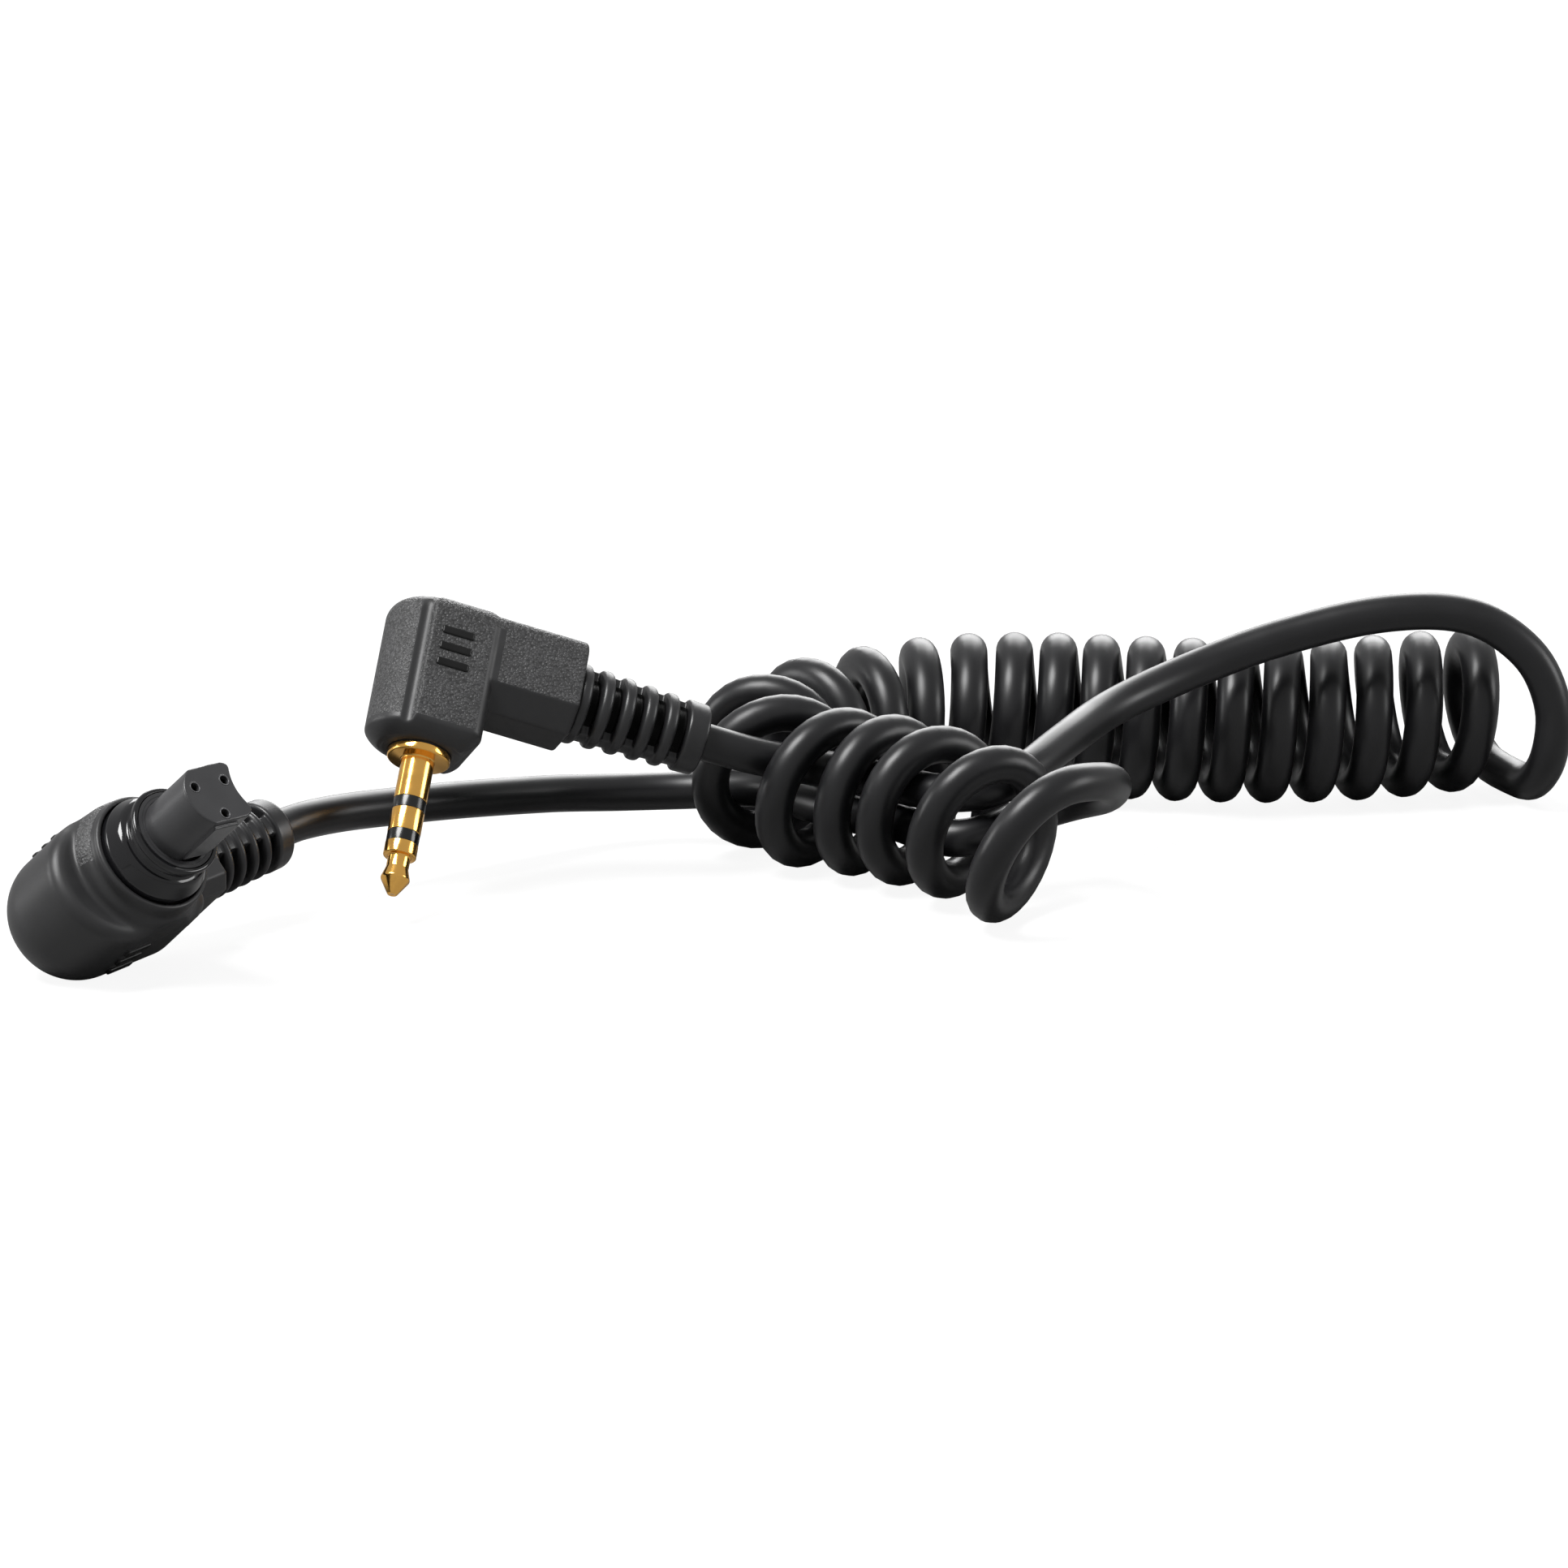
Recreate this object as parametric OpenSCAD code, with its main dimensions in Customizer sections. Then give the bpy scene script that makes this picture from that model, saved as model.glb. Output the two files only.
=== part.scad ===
// Coiled remote-release cord: a right-angle 2.5 mm three-pole jack at one end, a right-angle
// three-contact camera plug with a sprung locking sleeve at the other, and a curly cord between
// them that lies on a table, bent into a V with both straight leads drawn back through its bore.
// Millimetres. +X to the right, +Y away from the front, +Z up, the table at z = 0.

/* [Cord] */
// Diameter of the cord's jacket
cord_d = 2.85; // [2.6:0.05:2.9]
// Radius of the coil's turns, to the middle of the cord
turn_r = 5.0; // [4.9:0.02:5.1]
// Diameter of each wire inside the cord
wire_d = 0.7; // [0.5:0.05:0.8]

/* [Jack contacts] */
// Diameter of the jack's pin
pin_d = 2.5; // [2.4:0.05:2.6]
// Length of the pin from its tip to its flange
pin_len = 11; // [10.5:0.1:12]
// Length of the tip contact
tip_len = 4.1; // [3.8:0.1:4.4]
// Length of the ring contact
ring_len = 1.8; // [1.5:0.1:2]
// Width of each black insulating band
band_w = 0.9; // [0.7:0.05:1]
// Diameter of the pin's waist behind the tip
waist_d = 1.7; // [1.5:0.05:1.9]
// Diameter of the rod that carries the tip contact
rod_d = 0.7; // [0.5:0.05:0.8]
// Diameter of the flange that seats the pin
flange_d = 4.75; // [4.3:0.05:5.2]
// Thickness of the flange
flange_t = 0.6; // [0.4:0.05:0.9]

/* [Jack housing] */
// Width of the jack's column, from its round back to its face at the arm
jack_col_l = 8.2; // [7.9:0.1:9]
// Thickness of the jack's column
jack_col_w = 7.2; // [6.9:0.1:8]
// Height of the jack's column
jack_col_h = 11.3; // [10.9:0.1:12]
// Diameter of the round boss under the column
jack_boss_d = 7; // [6.4:0.1:7.2]
// Height of the round boss
jack_boss_h = 0.4; // [0.3:0.1:0.9]
// Length of the jack's side arm
jack_arm_l = 6.8; // [6.6:0.1:8]

/* [Camera plug housing] */
// Length of the camera plug's column, from its round back to its face at the arm
cam_col_l = 12.4; // [12:0.1:13.2]
// Thickness of the camera plug's column
cam_col_w = 10; // [9.8:0.1:10.8]
// Height of the camera plug's column
cam_col_h = 9.8; // [9.8:0.1:11]
// Height of the shoulder that narrows to the locking sleeve
cam_shoulder_h = 2.2; // [1.8:0.1:2.6]
// Diameter of the shoulder's rim
cam_shoulder_d = 9.8; // [9.4:0.1:10]
// Length of the camera plug's side arm
cam_arm_l = 4.7; // [4.4:0.1:5.5]

/* [Side arms] */
// Height of the jack's side arm
jack_arm_h = 7.4; // [7:0.1:7.8]
// Height of the camera plug's side arm
cam_arm_h = 6.8; // [6.6:0.1:7]
// Thickness of the side arms
arm_w = 6.8; // [6.4:0.1:6.9]
// Height of the slopes on the jack's side arm
jack_slope_h = 1.9; // [1.5:0.1:2.4]
// Depth of the slopes on the jack's side arm
jack_slope_w = 1.6; // [1:0.1:1.8]
// Height and depth of the slopes on the camera plug's side arm
cam_slope = 1; // [0.8:0.1:1.4]

/* [Grip bars] */
// Length of each grip bar
bar_l = 2.4; // [1.8:0.1:3]
// Width of each grip bar
bar_w = 0.55; // [0.4:0.05:0.7]
// How far the bars stand proud
bar_t = 0.2; // [0.1:0.05:0.3]
// Distance from bar to bar
bar_pitch = 1.3; // [1.1:0.05:1.5]
// Number of bars on each side
bar_count = 3; // [2:1:4]

/* [Strain reliefs] */
// Length of the jack's ribbed strain relief
jack_boot_l = 10.4; // [9.6:0.1:11.5]
// Length of the camera plug's ribbed strain relief
cam_boot_l = 9; // [8.4:0.1:10]
// Diameter of a strain relief at its arm
boot_d1 = 6.2; // [5.8:0.1:6.4]
// Diameter of a strain relief at its cord end
boot_d2 = 5.4; // [5:0.1:5.7]
// Number of windows between the ribs on each side
boot_windows = 5; // [3:1:5]
// Width of a window along the cord
window_w = 0.85; // [0.6:0.05:1]
// Thickness of the solid wall left inside a window
boot_wall = 0.5; // [0.4:0.05:0.7]
// Width of the spine left between the two rows of windows
spine_w = 1.5; // [1:0.1:2.2]
// Length of the smooth collar at the cord end
boot_collar_l = 1.7; // [1.2:0.1:2]

/* [Nose] */
// Diameter of the nose over its round sides
nose_d = 5.2; // [5.1:0.05:5.3]
// Width of the nose across its two flats
nose_w = 4.6; // [4.55:0.05:4.8]
// Distance from the nose's middle to its keyed side
key_side = 2.6; // [2.45:0.05:2.7]
// Radius of the key groove along the keyed side
key_r = 3.4; // [3:0.1:4]
// Depth of the key groove
key_depth = 0.5; // [0.35:0.05:0.55]
// How far the nose reaches past the locking sleeve
nose_out = 5.4; // [5:0.1:6]
// Width of the guide ledge along one flat
guide_w = 2.4; // [2:0.1:3]
// How far the guide ledge stands out
guide_t = 0.25; // [0.15:0.05:0.3]
// Distance between the contact holes, which stand in a triangle
hole_pitch = 2.9; // [2.8:0.02:3]
// Diameter of each contact hole
hole_d = 0.7; // [0.6:0.05:0.75]
// Depth of each contact hole
hole_depth = 6; // [5:0.1:7]
// Thickness of a contact's wall
contact_wall = 0.15; // [0.1:0.01:0.2]

/* [Locking sleeve] */
// Thickness of the wall of the barrel that the sleeve slides on
barrel_wall = 0.23; // [0.2:0.01:0.3]
// Radial gap between the barrel and the sleeve
sleeve_fit = 0.05; // [0.03:0.01:0.08]
// Thickness of the locking sleeve's wall
sleeve_wall = 0.5; // [0.45:0.05:0.6]
// Length of the locking sleeve
sleeve_len = 3.5; // [3.2:0.1:3.8]
// How far the sleeve's flange stands out
sleeve_flange_w = 0.85; // [0.6:0.05:0.9]
// Thickness of the sleeve's flange
sleeve_flange_t = 0.9; // [0.7:0.05:1.1]
// How far the sleeve pulls back against its spring
sleeve_travel = 1.2; // [0.8:0.05:1.3]
// Height of the spring when pressed together
spring_h = 1.3; // [1.1:0.05:1.5]
// Width of the stop ring that holds the sleeve on
stop_w = 0.3; // [0.25:0.01:0.32]
// Thickness of the stop ring
stop_t = 0.4; // [0.3:0.05:0.5]

/* [Places on the table] */
// How far the jack's tip lies to the left of the coil's reference point
jack_left = 29; // [28.5:0.1:29.5]
// How far the jack's tip lies in front of the coil's reference point
jack_front = 40.1; // [39.6:0.1:40.6]
// Height of the jack's tip
jack_up = 2.5; // [2.4:0.1:3]
// How far the camera plug's middle lies to the left of the coil's reference point
camera_left = 47.1; // [46.6:0.1:47.6]
// How far the camera plug's middle lies in front of the coil's reference point
camera_front = 54.8; // [54.3:0.1:55.3]
// Height of the camera plug's middle
camera_up = 8.4; // [8.4:0.1:8.9]

/* [Hidden] */
$fn = 64;
hull_fn = 24;
hidden_sides = 10;

// Clearances
seat = 0.02;
cord_gap = 0.05;
recess_gap = 0.15;
wire_gap = 0.1;

// Rounding of the housings
slice = 0.01;
jack_closed_round = 1.7;
cam_closed_round = 4.6;
open_round = 1;
jack_corner_round = 1.2;
cam_corner_round = 1.8;
jack_arm_bevel = 1;
cam_arm_bevel = 0.5;
arm_overlap = 1.5;

// Jack: its own frame has the pin's tip at the origin and the arm along +X
pin_r = pin_d / 2;
rod_r = rod_d / 2;
layer = (pin_r - rod_r) / 4;
front_r = rod_r + layer;
ring_r = rod_r + 2 * layer;
rear_r = rod_r + 3 * layer;
front_band_z = tip_len;
ring_z = front_band_z + band_w;
rear_band_z = ring_z + ring_len;
sleeve_z = rear_band_z + band_w;
flange_top = pin_len + flange_t;
tip_point_r = 0.35;
tip_head_r = 1.1;
tip_head_z = 1.3;
waist_z = 2.2;
tip_shoulder_z = 3.1;
stagger = 0.6;
jack_col_z = flange_top + jack_boss_h;
jack_col_top = jack_col_z + jack_col_h;
jack_round_x = -0.8;
jack_face_x = jack_round_x - jack_col_w / 2 + jack_col_l;
jack_arm_end = jack_face_x + jack_arm_l;
jack_arm_drop = 0.2;
jack_cord_drop = 0.2;
jack_arm_z = jack_col_top - jack_arm_drop - jack_arm_h;
jack_cord_z = jack_arm_z + jack_arm_h / 2 - jack_cord_drop;
jack_bar_x = 0.3;
jack_bar_drop = 4.3;
tag_l = 2;
tag_t = 0.3;
jack_core_d = 4.6;
jack_core_top = jack_cord_z - wire_d / 2 - tag_t;
wire_room_d = 3.7;
row = wire_d + wire_gap;

// Strain reliefs
cord_in = 2.4;
root_len = 1.5;
root_d = 4.4;
boot_bore_r = cord_d / 2 + cord_gap;

// Camera plug: its own frame has the middle of the column's open end at the origin, the nose
// along +Z and the arm along +X
cam_round_x = -2.6;
cam_face_x = cam_round_x - cam_col_w / 2 + cam_col_l;
cam_arm_end = cam_face_x + cam_arm_l;
cam_arm_drop = 1.9;
cam_cord_z = -cam_arm_drop - cam_arm_h / 2;
cam_bar_x = -1.8;
cam_bar_z = -4;
shoulder_root = 0.3;
shoulder_inset = 0.5;
sleeve_sunk = 0.2;
sleeve_rest_z = cam_shoulder_h - sleeve_sunk;
sleeve_top = sleeve_rest_z + sleeve_len;
nose_top = sleeve_top + nose_out;
barrel_d = nose_d + 2 * (seat + barrel_wall);
sleeve_bore_r = barrel_d / 2 + sleeve_fit;
sleeve_d = 2 * (sleeve_bore_r + sleeve_wall);
sleeve_flange_d = sleeve_d + 2 * sleeve_flange_w;
stop_d = barrel_d + 2 * stop_w;
recess_r = sleeve_flange_d / 2 + recess_gap;
recess_floor = sleeve_rest_z - sleeve_travel - spring_h - wire_gap;
spring_wall = 0.6;
nose_bore_r = nose_d / 2 + seat;
cam_core_d = 7.6;
cam_core_bottom = cam_cord_z + wire_d / 2 + wire_gap;
barrel_root = 3;
barrel_foot = recess_floor - barrel_root;
nose_turn = -6;
hole_count = 3;
hole_step = 360 / hole_count;
hole_turn = nose_turn + hole_step / 4;
hole_ring_r = hole_pitch / (2 * sin(180 / hole_count));
contact_r = hole_d / 2 + contact_wall;
hole_lip = 0.5;
contact_top = nose_top - hole_lip;
tail_r = 0.3;
tail_end = cam_cord_z + wire_gap;
guide_gap = 0.4;
key_shift = 0.2;
nose_corner = 0.6;
holes = [
    for (k = [0 : hole_count - 1])
        hole_ring_r * [cos(hole_turn + k * hole_step), sin(hole_turn + k * hole_step)]
];

// Where things lie on the table
lay_at = [30.9, 42.6, 0];
jack_at = lay_at + [-jack_left, -jack_front, jack_up];
jack_tilt = [-35, 19, 10];
cam_at = lay_at + [-camera_left, -camera_front, camera_up];
cam_tilt = [50, -5, 50];

// Turns of the coil: turn number, x, y and height of its middle, heading of the coil, lean of
// the turn, and how much wider than turn_r it is; each turn starts at its lowest point
stations = [
    [0, 55, 2.2, 6.6, 200, 0, 0],
    [1, 51, 0.8, 6.6, 193, 0, 0],
    [2, 47.2, -0.4, 6.5, 188, 2, 0],
    [4, 40.2, -2, 6.5, 183, 2, 0],
    [6, 33.2, -2, 6.5, 182, 2, 0],
    [8, 26.2, -1, 6.5, 183, 2, 0],
    [10, 19.4, 0, 6.5, 184, 0, 0],
    [12, 12.4, -0.8, 6.5, 189, 0, 0],
    [13, 8.4, -3.2, 6.5, 200, 0, 0],
    [14, 4.2, -6.4, 6.5, 222, -3, 0],
    [15, 0, -10.6, 6.5, 252, -4, 0],
    [16, -1.5, -16.6, 6.5, 286, -2, 0],
    [17, 1.8, -22.5, 6.5, 312, 3, 0],
    [18, 5.8, -25, 6.5, 322, 3, 0],
    [19, 9.2, -27.8, 6.5, 318, 0, 0],
    [20, 13, -32, 6.5, 316, 6, 0],
    [21, 17, -39.5, 6.6, 324, 14, 0.2],
    [22, 23, -45.5, 6.6, 328, 16, 0.4]
];
coil_start = 0;
coil_end = 21.5;
lowest = -90;
rings_a_turn = 8;
coil_sides = 6;

// The last curl, drawn open and back through the gap beside the last turn but one
curl_route = [
    [23.6, -39.5, 11],
    [24.4, -35.3, 9.6],
    [23.8, -31.2, 7.9],
    [21.5, -28.6, 6.7],
    [19, -28.8, 6],
    [17.4, -30.2, 5.7]
];
curl_step = 2.8;

// How finely the coil is measured against itself: points a turn, and points skipped along it
gap_points = 32;
gap_from = 20;

// The two leads, between their plugs and the coil
camera_route = [
    [-28, -26.6, 6],
    [-18, -18.5, 4.8],
    [-12.5, -15.6, 4.2],
    [-7.3, -15, 4.2],
    [-1.8, -17.2, 4.9],
    [2, -21.7, 4.9],
    [5.2, -25.2, 4.9],
    [8.5, -28.5, 5.1],
    [10.4, -31.3, 5.1],
    [12.6, -33, 5]
];
jack_route = [
    [2, -23.2, 8.1],
    [5.3, -25.6, 8.1],
    [8.8, -29, 8.1],
    [12, -31.9, 8.2],
    [15.2, -32.4, 8.6],
    [17.9, -29.9, 9.3],
    [20.6, -24.8, 10.1],
    [24.8, -16.5, 11],
    [31, -11, 12.6],
    [38, -8.5, 14.6],
    [46, -7, 16.1],
    [52.5, -6, 15.6],
    [57, -5.8, 12.5],
    [58.8, -6, 8.4],
    [58.5, -6, 4.6],
    [57.6, -4, 2.3]
];
lead_sides = 8;
lead_step = 3;
lead_end = 0.85;

// ---------- functions ----------
function unit(v) = v / norm(v);
function turn_x(a, v) = [v.x, v.y * cos(a) - v.z * sin(a), v.y * sin(a) + v.z * cos(a)];
function turn_y(a, v) = [v.x * cos(a) + v.z * sin(a), v.y, v.z * cos(a) - v.x * sin(a)];
function turn_z(a, v) = [v.x * cos(a) - v.y * sin(a), v.x * sin(a) + v.y * cos(a), v.z];
function placed(at, tilt, v) = at + turn_z(tilt.z, turn_y(tilt.y, turn_x(tilt.x, v)));

function knots(p) = [
    for (i = 0, s = 0; i < len(p); s = s + (i + 1 < len(p) ? norm(p[i + 1] - p[i]) : 0), i = i + 1) s
];
function slope(k, v, i) =
    let (a = max(i - 1, 0), b = min(i + 1, len(k) - 1)) (v[b] - v[a]) / (k[b] - k[a]);
function span_at(k, t) = max([for (i = [0 : len(k) - 2]) if (i == 0 || k[i] <= t) i]);
function eased(k, v, t) =
    let (i = span_at(k, t), h = k[i + 1] - k[i], u = (t - k[i]) / h)
    (1 + 2 * u) * pow(1 - u, 2) * v[i] + u * pow(1 - u, 2) * h * slope(k, v, i)
    + u * u * (3 - 2 * u) * v[i + 1] + u * u * (u - 1) * h * slope(k, v, i + 1);

station_turns = [for (s = stations) s[0]];
station_values = [for (s = stations) [for (k = [1 : 6]) s[k]]];
function coil_point(t) =
    let (w = eased(station_turns, station_values, t),
         along = [cos(w[3]), sin(w[3]), 0],
         side = [-sin(w[3]), cos(w[3]), 0],
         rise = [0, 0, cos(w[4])] + sin(w[4]) * along,
         a = lowest - 360 * t)
    lay_at + [w[0], w[1], w[2]] + (turn_r + w[5]) * (cos(a) * side + sin(a) * rise);

turn_step = 1 / rings_a_turn;
turn_eps = 0.01;
bit = 0.02;
curl_knots_back = 0.06;
coil_first = coil_point(coil_start);
coil_first_dir = unit(coil_first - coil_point(coil_start + turn_eps));
coil_tail_a = coil_first + cord_d * coil_first_dir;
curl_points = concat(
    [coil_point(coil_end - curl_knots_back), coil_point(coil_end)],
    [for (q = curl_route) lay_at + q]
);
curl_knots = knots(curl_points);
curl_from = curl_knots[1];
curl_to = curl_knots[len(curl_knots) - 1];
function curl_point(s) = eased(curl_knots, curl_points, s);
curl_count = round((curl_to - curl_from) / curl_step);
coil_last_dir = unit(curl_point(curl_to) - curl_point(curl_to - bit));
coil_tail_b = curl_point(curl_to) + cord_d * coil_last_dir;
coil_path = concat(
    [coil_tail_a],
    [for (k = [0 : rings_a_turn * (coil_end - coil_start)]) coil_point(coil_start + k * turn_step)],
    [for (k = [1 : curl_count]) curl_point(curl_from + (curl_to - curl_from) * k / curl_count)],
    [coil_tail_b]
);
gap_path = concat(
    [for (k = [0 : gap_points * (coil_end - coil_start)]) coil_point(coil_start + k / gap_points)],
    [for (s = [curl_from : 1 : curl_to]) curl_point(s)],
    [coil_tail_b]
);
least_gap = min([
    for (i = [0 : len(gap_path) - 1 - gap_from]) for (j = [i + gap_from : len(gap_path) - 1])
        norm(gap_path[i] - gap_path[j])
]) - cord_d;
echo(str("least gap of the coil to itself, mm: ", least_gap));

module tube(p, sides, first_side) {
    last = len(p) - 1;
    dirs = [for (i = [0 : last]) unit(p[min(i + 1, last)] - p[max(i - 1, 0)])];
    sideways = [
        for (i = 0, n = unit(cross(cross(dirs[0], first_side), dirs[0])); i <= last;
             i = i + 1, n = unit(n - (n * dirs[min(i, last)]) * dirs[min(i, last)])) n
    ];
    points = [
        for (i = [0 : last]) for (k = [0 : sides - 1])
            let (a = 360 * k / sides, up = cross(dirs[i], sideways[i]))
                p[i] + cord_d / 2 * (cos(a) * sideways[i] + sin(a) * up)
    ];
    faces = concat(
        [for (k = [1 : sides - 2]) [0, k, k + 1]],
        [for (k = [1 : sides - 2]) [last * sides, last * sides + k + 1, last * sides + k]],
        [for (i = [0 : last - 1]) for (k = [0 : sides - 1])
            [i * sides + k, (i + 1) * sides + k, (i + 1) * sides + (k + 1) % sides]],
        [for (i = [0 : last - 1]) for (k = [0 : sides - 1])
            [i * sides + k, (i + 1) * sides + (k + 1) % sides, i * sides + (k + 1) % sides]]
    );
    polyhedron(points = points, faces = faces, convexity = 10);
}

// ---------- shared shapes ----------
// A column's outline: round at the back, flat at the arm's side, drawn in by an inset
module outline(round_x, face_x, w, corner, inset) {
    translate([round_x, 0]) circle(r = w / 2 - inset, $fn = hull_fn);
    for (side = [-1, 1])
        translate([face_x - max(inset, corner), side * (w / 2 - max(inset, corner))])
            circle(r = max(corner - inset, slice), $fn = hull_fn);
}

// A column that stands on z = 0 with its open end down and its rounded end up
module column(round_x, face_x, w, h, corner, closed_round) {
    hull() {
        for (a = [0 : 30 : 90]) {
            translate([0, 0, open_round * (1 - sin(a))])
                linear_extrude(slice) outline(round_x, face_x, w, corner, open_round * (1 - cos(a)));
            translate([0, 0, h - closed_round * (1 - sin(a)) - slice])
                linear_extrude(slice) outline(round_x, face_x, w, corner, closed_round * (1 - cos(a)));
        }
    }
}

// A side arm from x = from to x = to that stands on z = 0, its slopes along its lower edges
module arm(from, to, h, slope_h, slope_w, bevel) {
    translate([from, 0, 0]) rotate([90, 0, 90]) linear_extrude(to - from)
        polygon([
            [slope_w - arm_w / 2, 0],
            [arm_w / 2 - slope_w, 0],
            [arm_w / 2, slope_h],
            [arm_w / 2, h - bevel],
            [arm_w / 2 - bevel, h],
            [bevel - arm_w / 2, h],
            [-arm_w / 2, h - bevel],
            [-arm_w / 2, slope_h]
        ]);
}

// Grip bars on both flat sides of a column, the group's middle at the given x and z
module grip_bars(x, z, w) {
    for (k = [0 : bar_count - 1])
        translate([x - bar_l / 2, -w / 2 - bar_t, z + (k - (bar_count - 1) / 2) * bar_pitch - bar_w / 2])
            cube([bar_l, w + 2 * bar_t, bar_w]);
}

// A rod along +X
module rod_x(from, to, z, d) {
    translate([from, 0, z]) rotate([0, 90, 0]) cylinder(d = d, h = to - from);
}

// A wire from one point to another
module wire_between(a, b) {
    v = b - a;
    translate(a) rotate([0, acos(v.z / norm(v)), atan2(v.y, v.x)])
        cylinder(d = wire_d, h = norm(v), $fn = hidden_sides);
}

// The room for the cord and the root of the strain relief at the end of an arm
module arm_bore(end, z) {
    rod_x(end - root_len - cord_in, end + slice, z, 2 * boot_bore_r);
    rod_x(end - root_len, end + slice, z, root_d + 2 * seat);
}

// A strain relief that seats on x = 0 and reaches along +X
module boot(len) {
    groove_pitch = (len - boot_collar_l) / boot_windows;
    groove_r = boot_bore_r + boot_wall;
    rotate([0, 90, 0]) {
        difference() {
            union() {
                cylinder(d1 = boot_d1, d2 = boot_d2, h = len);
                translate([0, 0, seat - root_len])
                    cylinder(d = root_d, h = root_len, $fn = hidden_sides);
            }
            translate([0, 0, -root_len]) cylinder(r = boot_bore_r, h = len + root_len + slice);
            for (k = [0 : boot_windows - 1])
                translate([0, 0, (k + 1) * groove_pitch - window_w]) difference() {
                    cylinder(d = boot_d1 + 1, h = window_w);
                    cylinder(r = groove_r, h = window_w, $fn = hidden_sides);
                    translate([-boot_d1, -spine_w / 2, 0]) cube([2 * boot_d1, spine_w, window_w]);
                }
        }
    }
}

module place_jack() {
    translate(jack_at) rotate(jack_tilt) children();
}

module place_camera() {
    translate(cam_at) rotate(cam_tilt) children();
}

// ---------- jack ----------
module jack_housing() {
    color("#26272a") place_jack() difference() {
        union() {
            translate([0, 0, flange_top]) cylinder(d = jack_boss_d, h = jack_boss_h + open_round);
            translate([0, 0, jack_col_z]) column(jack_round_x, jack_face_x, jack_col_w, jack_col_h,
                jack_corner_round, jack_closed_round);
            translate([0, 0, jack_arm_z])
                arm(jack_face_x - arm_overlap, jack_arm_end, jack_arm_h, jack_slope_h, jack_slope_w,
                    jack_arm_bevel);
            grip_bars(jack_bar_x, jack_col_top - jack_bar_drop, jack_col_w);
        }
        translate([0, 0, flange_top - slice])
            cylinder(d = jack_core_d + 2 * seat, h = jack_core_top - flange_top + slice);
        rod_x(-wire_room_d / 2, jack_arm_end - root_len - cord_in, jack_cord_z, wire_room_d);
        arm_bore(jack_arm_end, jack_cord_z);
    }
}

module jack_boot() {
    color("#1d1e20") place_jack() translate([jack_arm_end, 0, jack_cord_z]) boot(jack_boot_l);
}

module jack_core() {
    color("#3a3b3e") place_jack() difference() {
        translate([0, 0, flange_top]) cylinder(d = jack_core_d, h = jack_core_top - flange_top);
        translate([0, 0, flange_top - slice]) {
            cylinder(r = rear_r + seat, h = 3 * stagger + slice + seat);
            cylinder(r = rod_r + seat, h = jack_core_top - flange_top + 2 * slice);
        }
    }
}

module jack_sleeve_contact() {
    color("#d9a534") place_jack() difference() {
        union() {
            translate([0, 0, sleeve_z]) cylinder(r = pin_r, h = flange_top - sleeve_z);
            translate([0, 0, pin_len]) cylinder(d = flange_d, h = flange_t);
        }
        translate([0, 0, sleeve_z - slice])
            cylinder(r = rear_r + seat, h = flange_top - sleeve_z + 2 * slice);
    }
}

// An insulator: a tube between two contacts with a band of the pin's full width in front
module insulator(band_z, inner_r, outer_r, top) {
    difference() {
        union() {
            translate([0, 0, band_z]) cylinder(r = pin_r, h = band_w);
            translate([0, 0, band_z]) cylinder(r = outer_r, h = top - band_z);
        }
        translate([0, 0, band_z - slice]) cylinder(r = inner_r + seat, h = top - band_z + 2 * slice);
    }
}

module jack_rear_insulator() {
    color("#141414") place_jack() insulator(rear_band_z, ring_r, rear_r, flange_top + stagger);
}

module jack_ring_contact() {
    color("#d9a534") place_jack() difference() {
        union() {
            translate([0, 0, ring_z]) cylinder(r = pin_r, h = ring_len);
            translate([0, 0, ring_z]) cylinder(r = ring_r, h = flange_top + 2 * stagger - ring_z);
        }
        translate([0, 0, ring_z - slice])
            cylinder(r = front_r + seat, h = flange_top + 2 * stagger - ring_z + 2 * slice);
    }
}

module jack_front_insulator() {
    color("#141414") place_jack() insulator(front_band_z, rod_r, front_r, flange_top + 3 * stagger);
}

module jack_tip_contact() {
    color("#d9a534") place_jack() rotate_extrude() polygon([
        [0, 0],
        [tip_point_r, 0],
        [tip_head_r, tip_head_z],
        [waist_d / 2, waist_z],
        [waist_d / 2, tip_shoulder_z],
        [pin_r, tip_shoulder_z],
        [pin_r, tip_len],
        [rod_r, tip_len],
        [rod_r, jack_core_top],
        [0, jack_core_top]
    ]);
}

module jack_solder_tags() {
    color("#c9a25a") place_jack() for (k = [-1 : 1])
        translate([-rod_r, k * row - wire_d / 2, jack_core_top]) cube([tag_l, wire_d, tag_t]);
}

module jack_wires() {
    cut = jack_arm_end - root_len - cord_in;
    color("#b4472f") place_jack() for (k = [-1 : 1])
        wire_between([0, k * row, jack_cord_z], [cut, k * row, jack_cord_z]);
}

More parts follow.
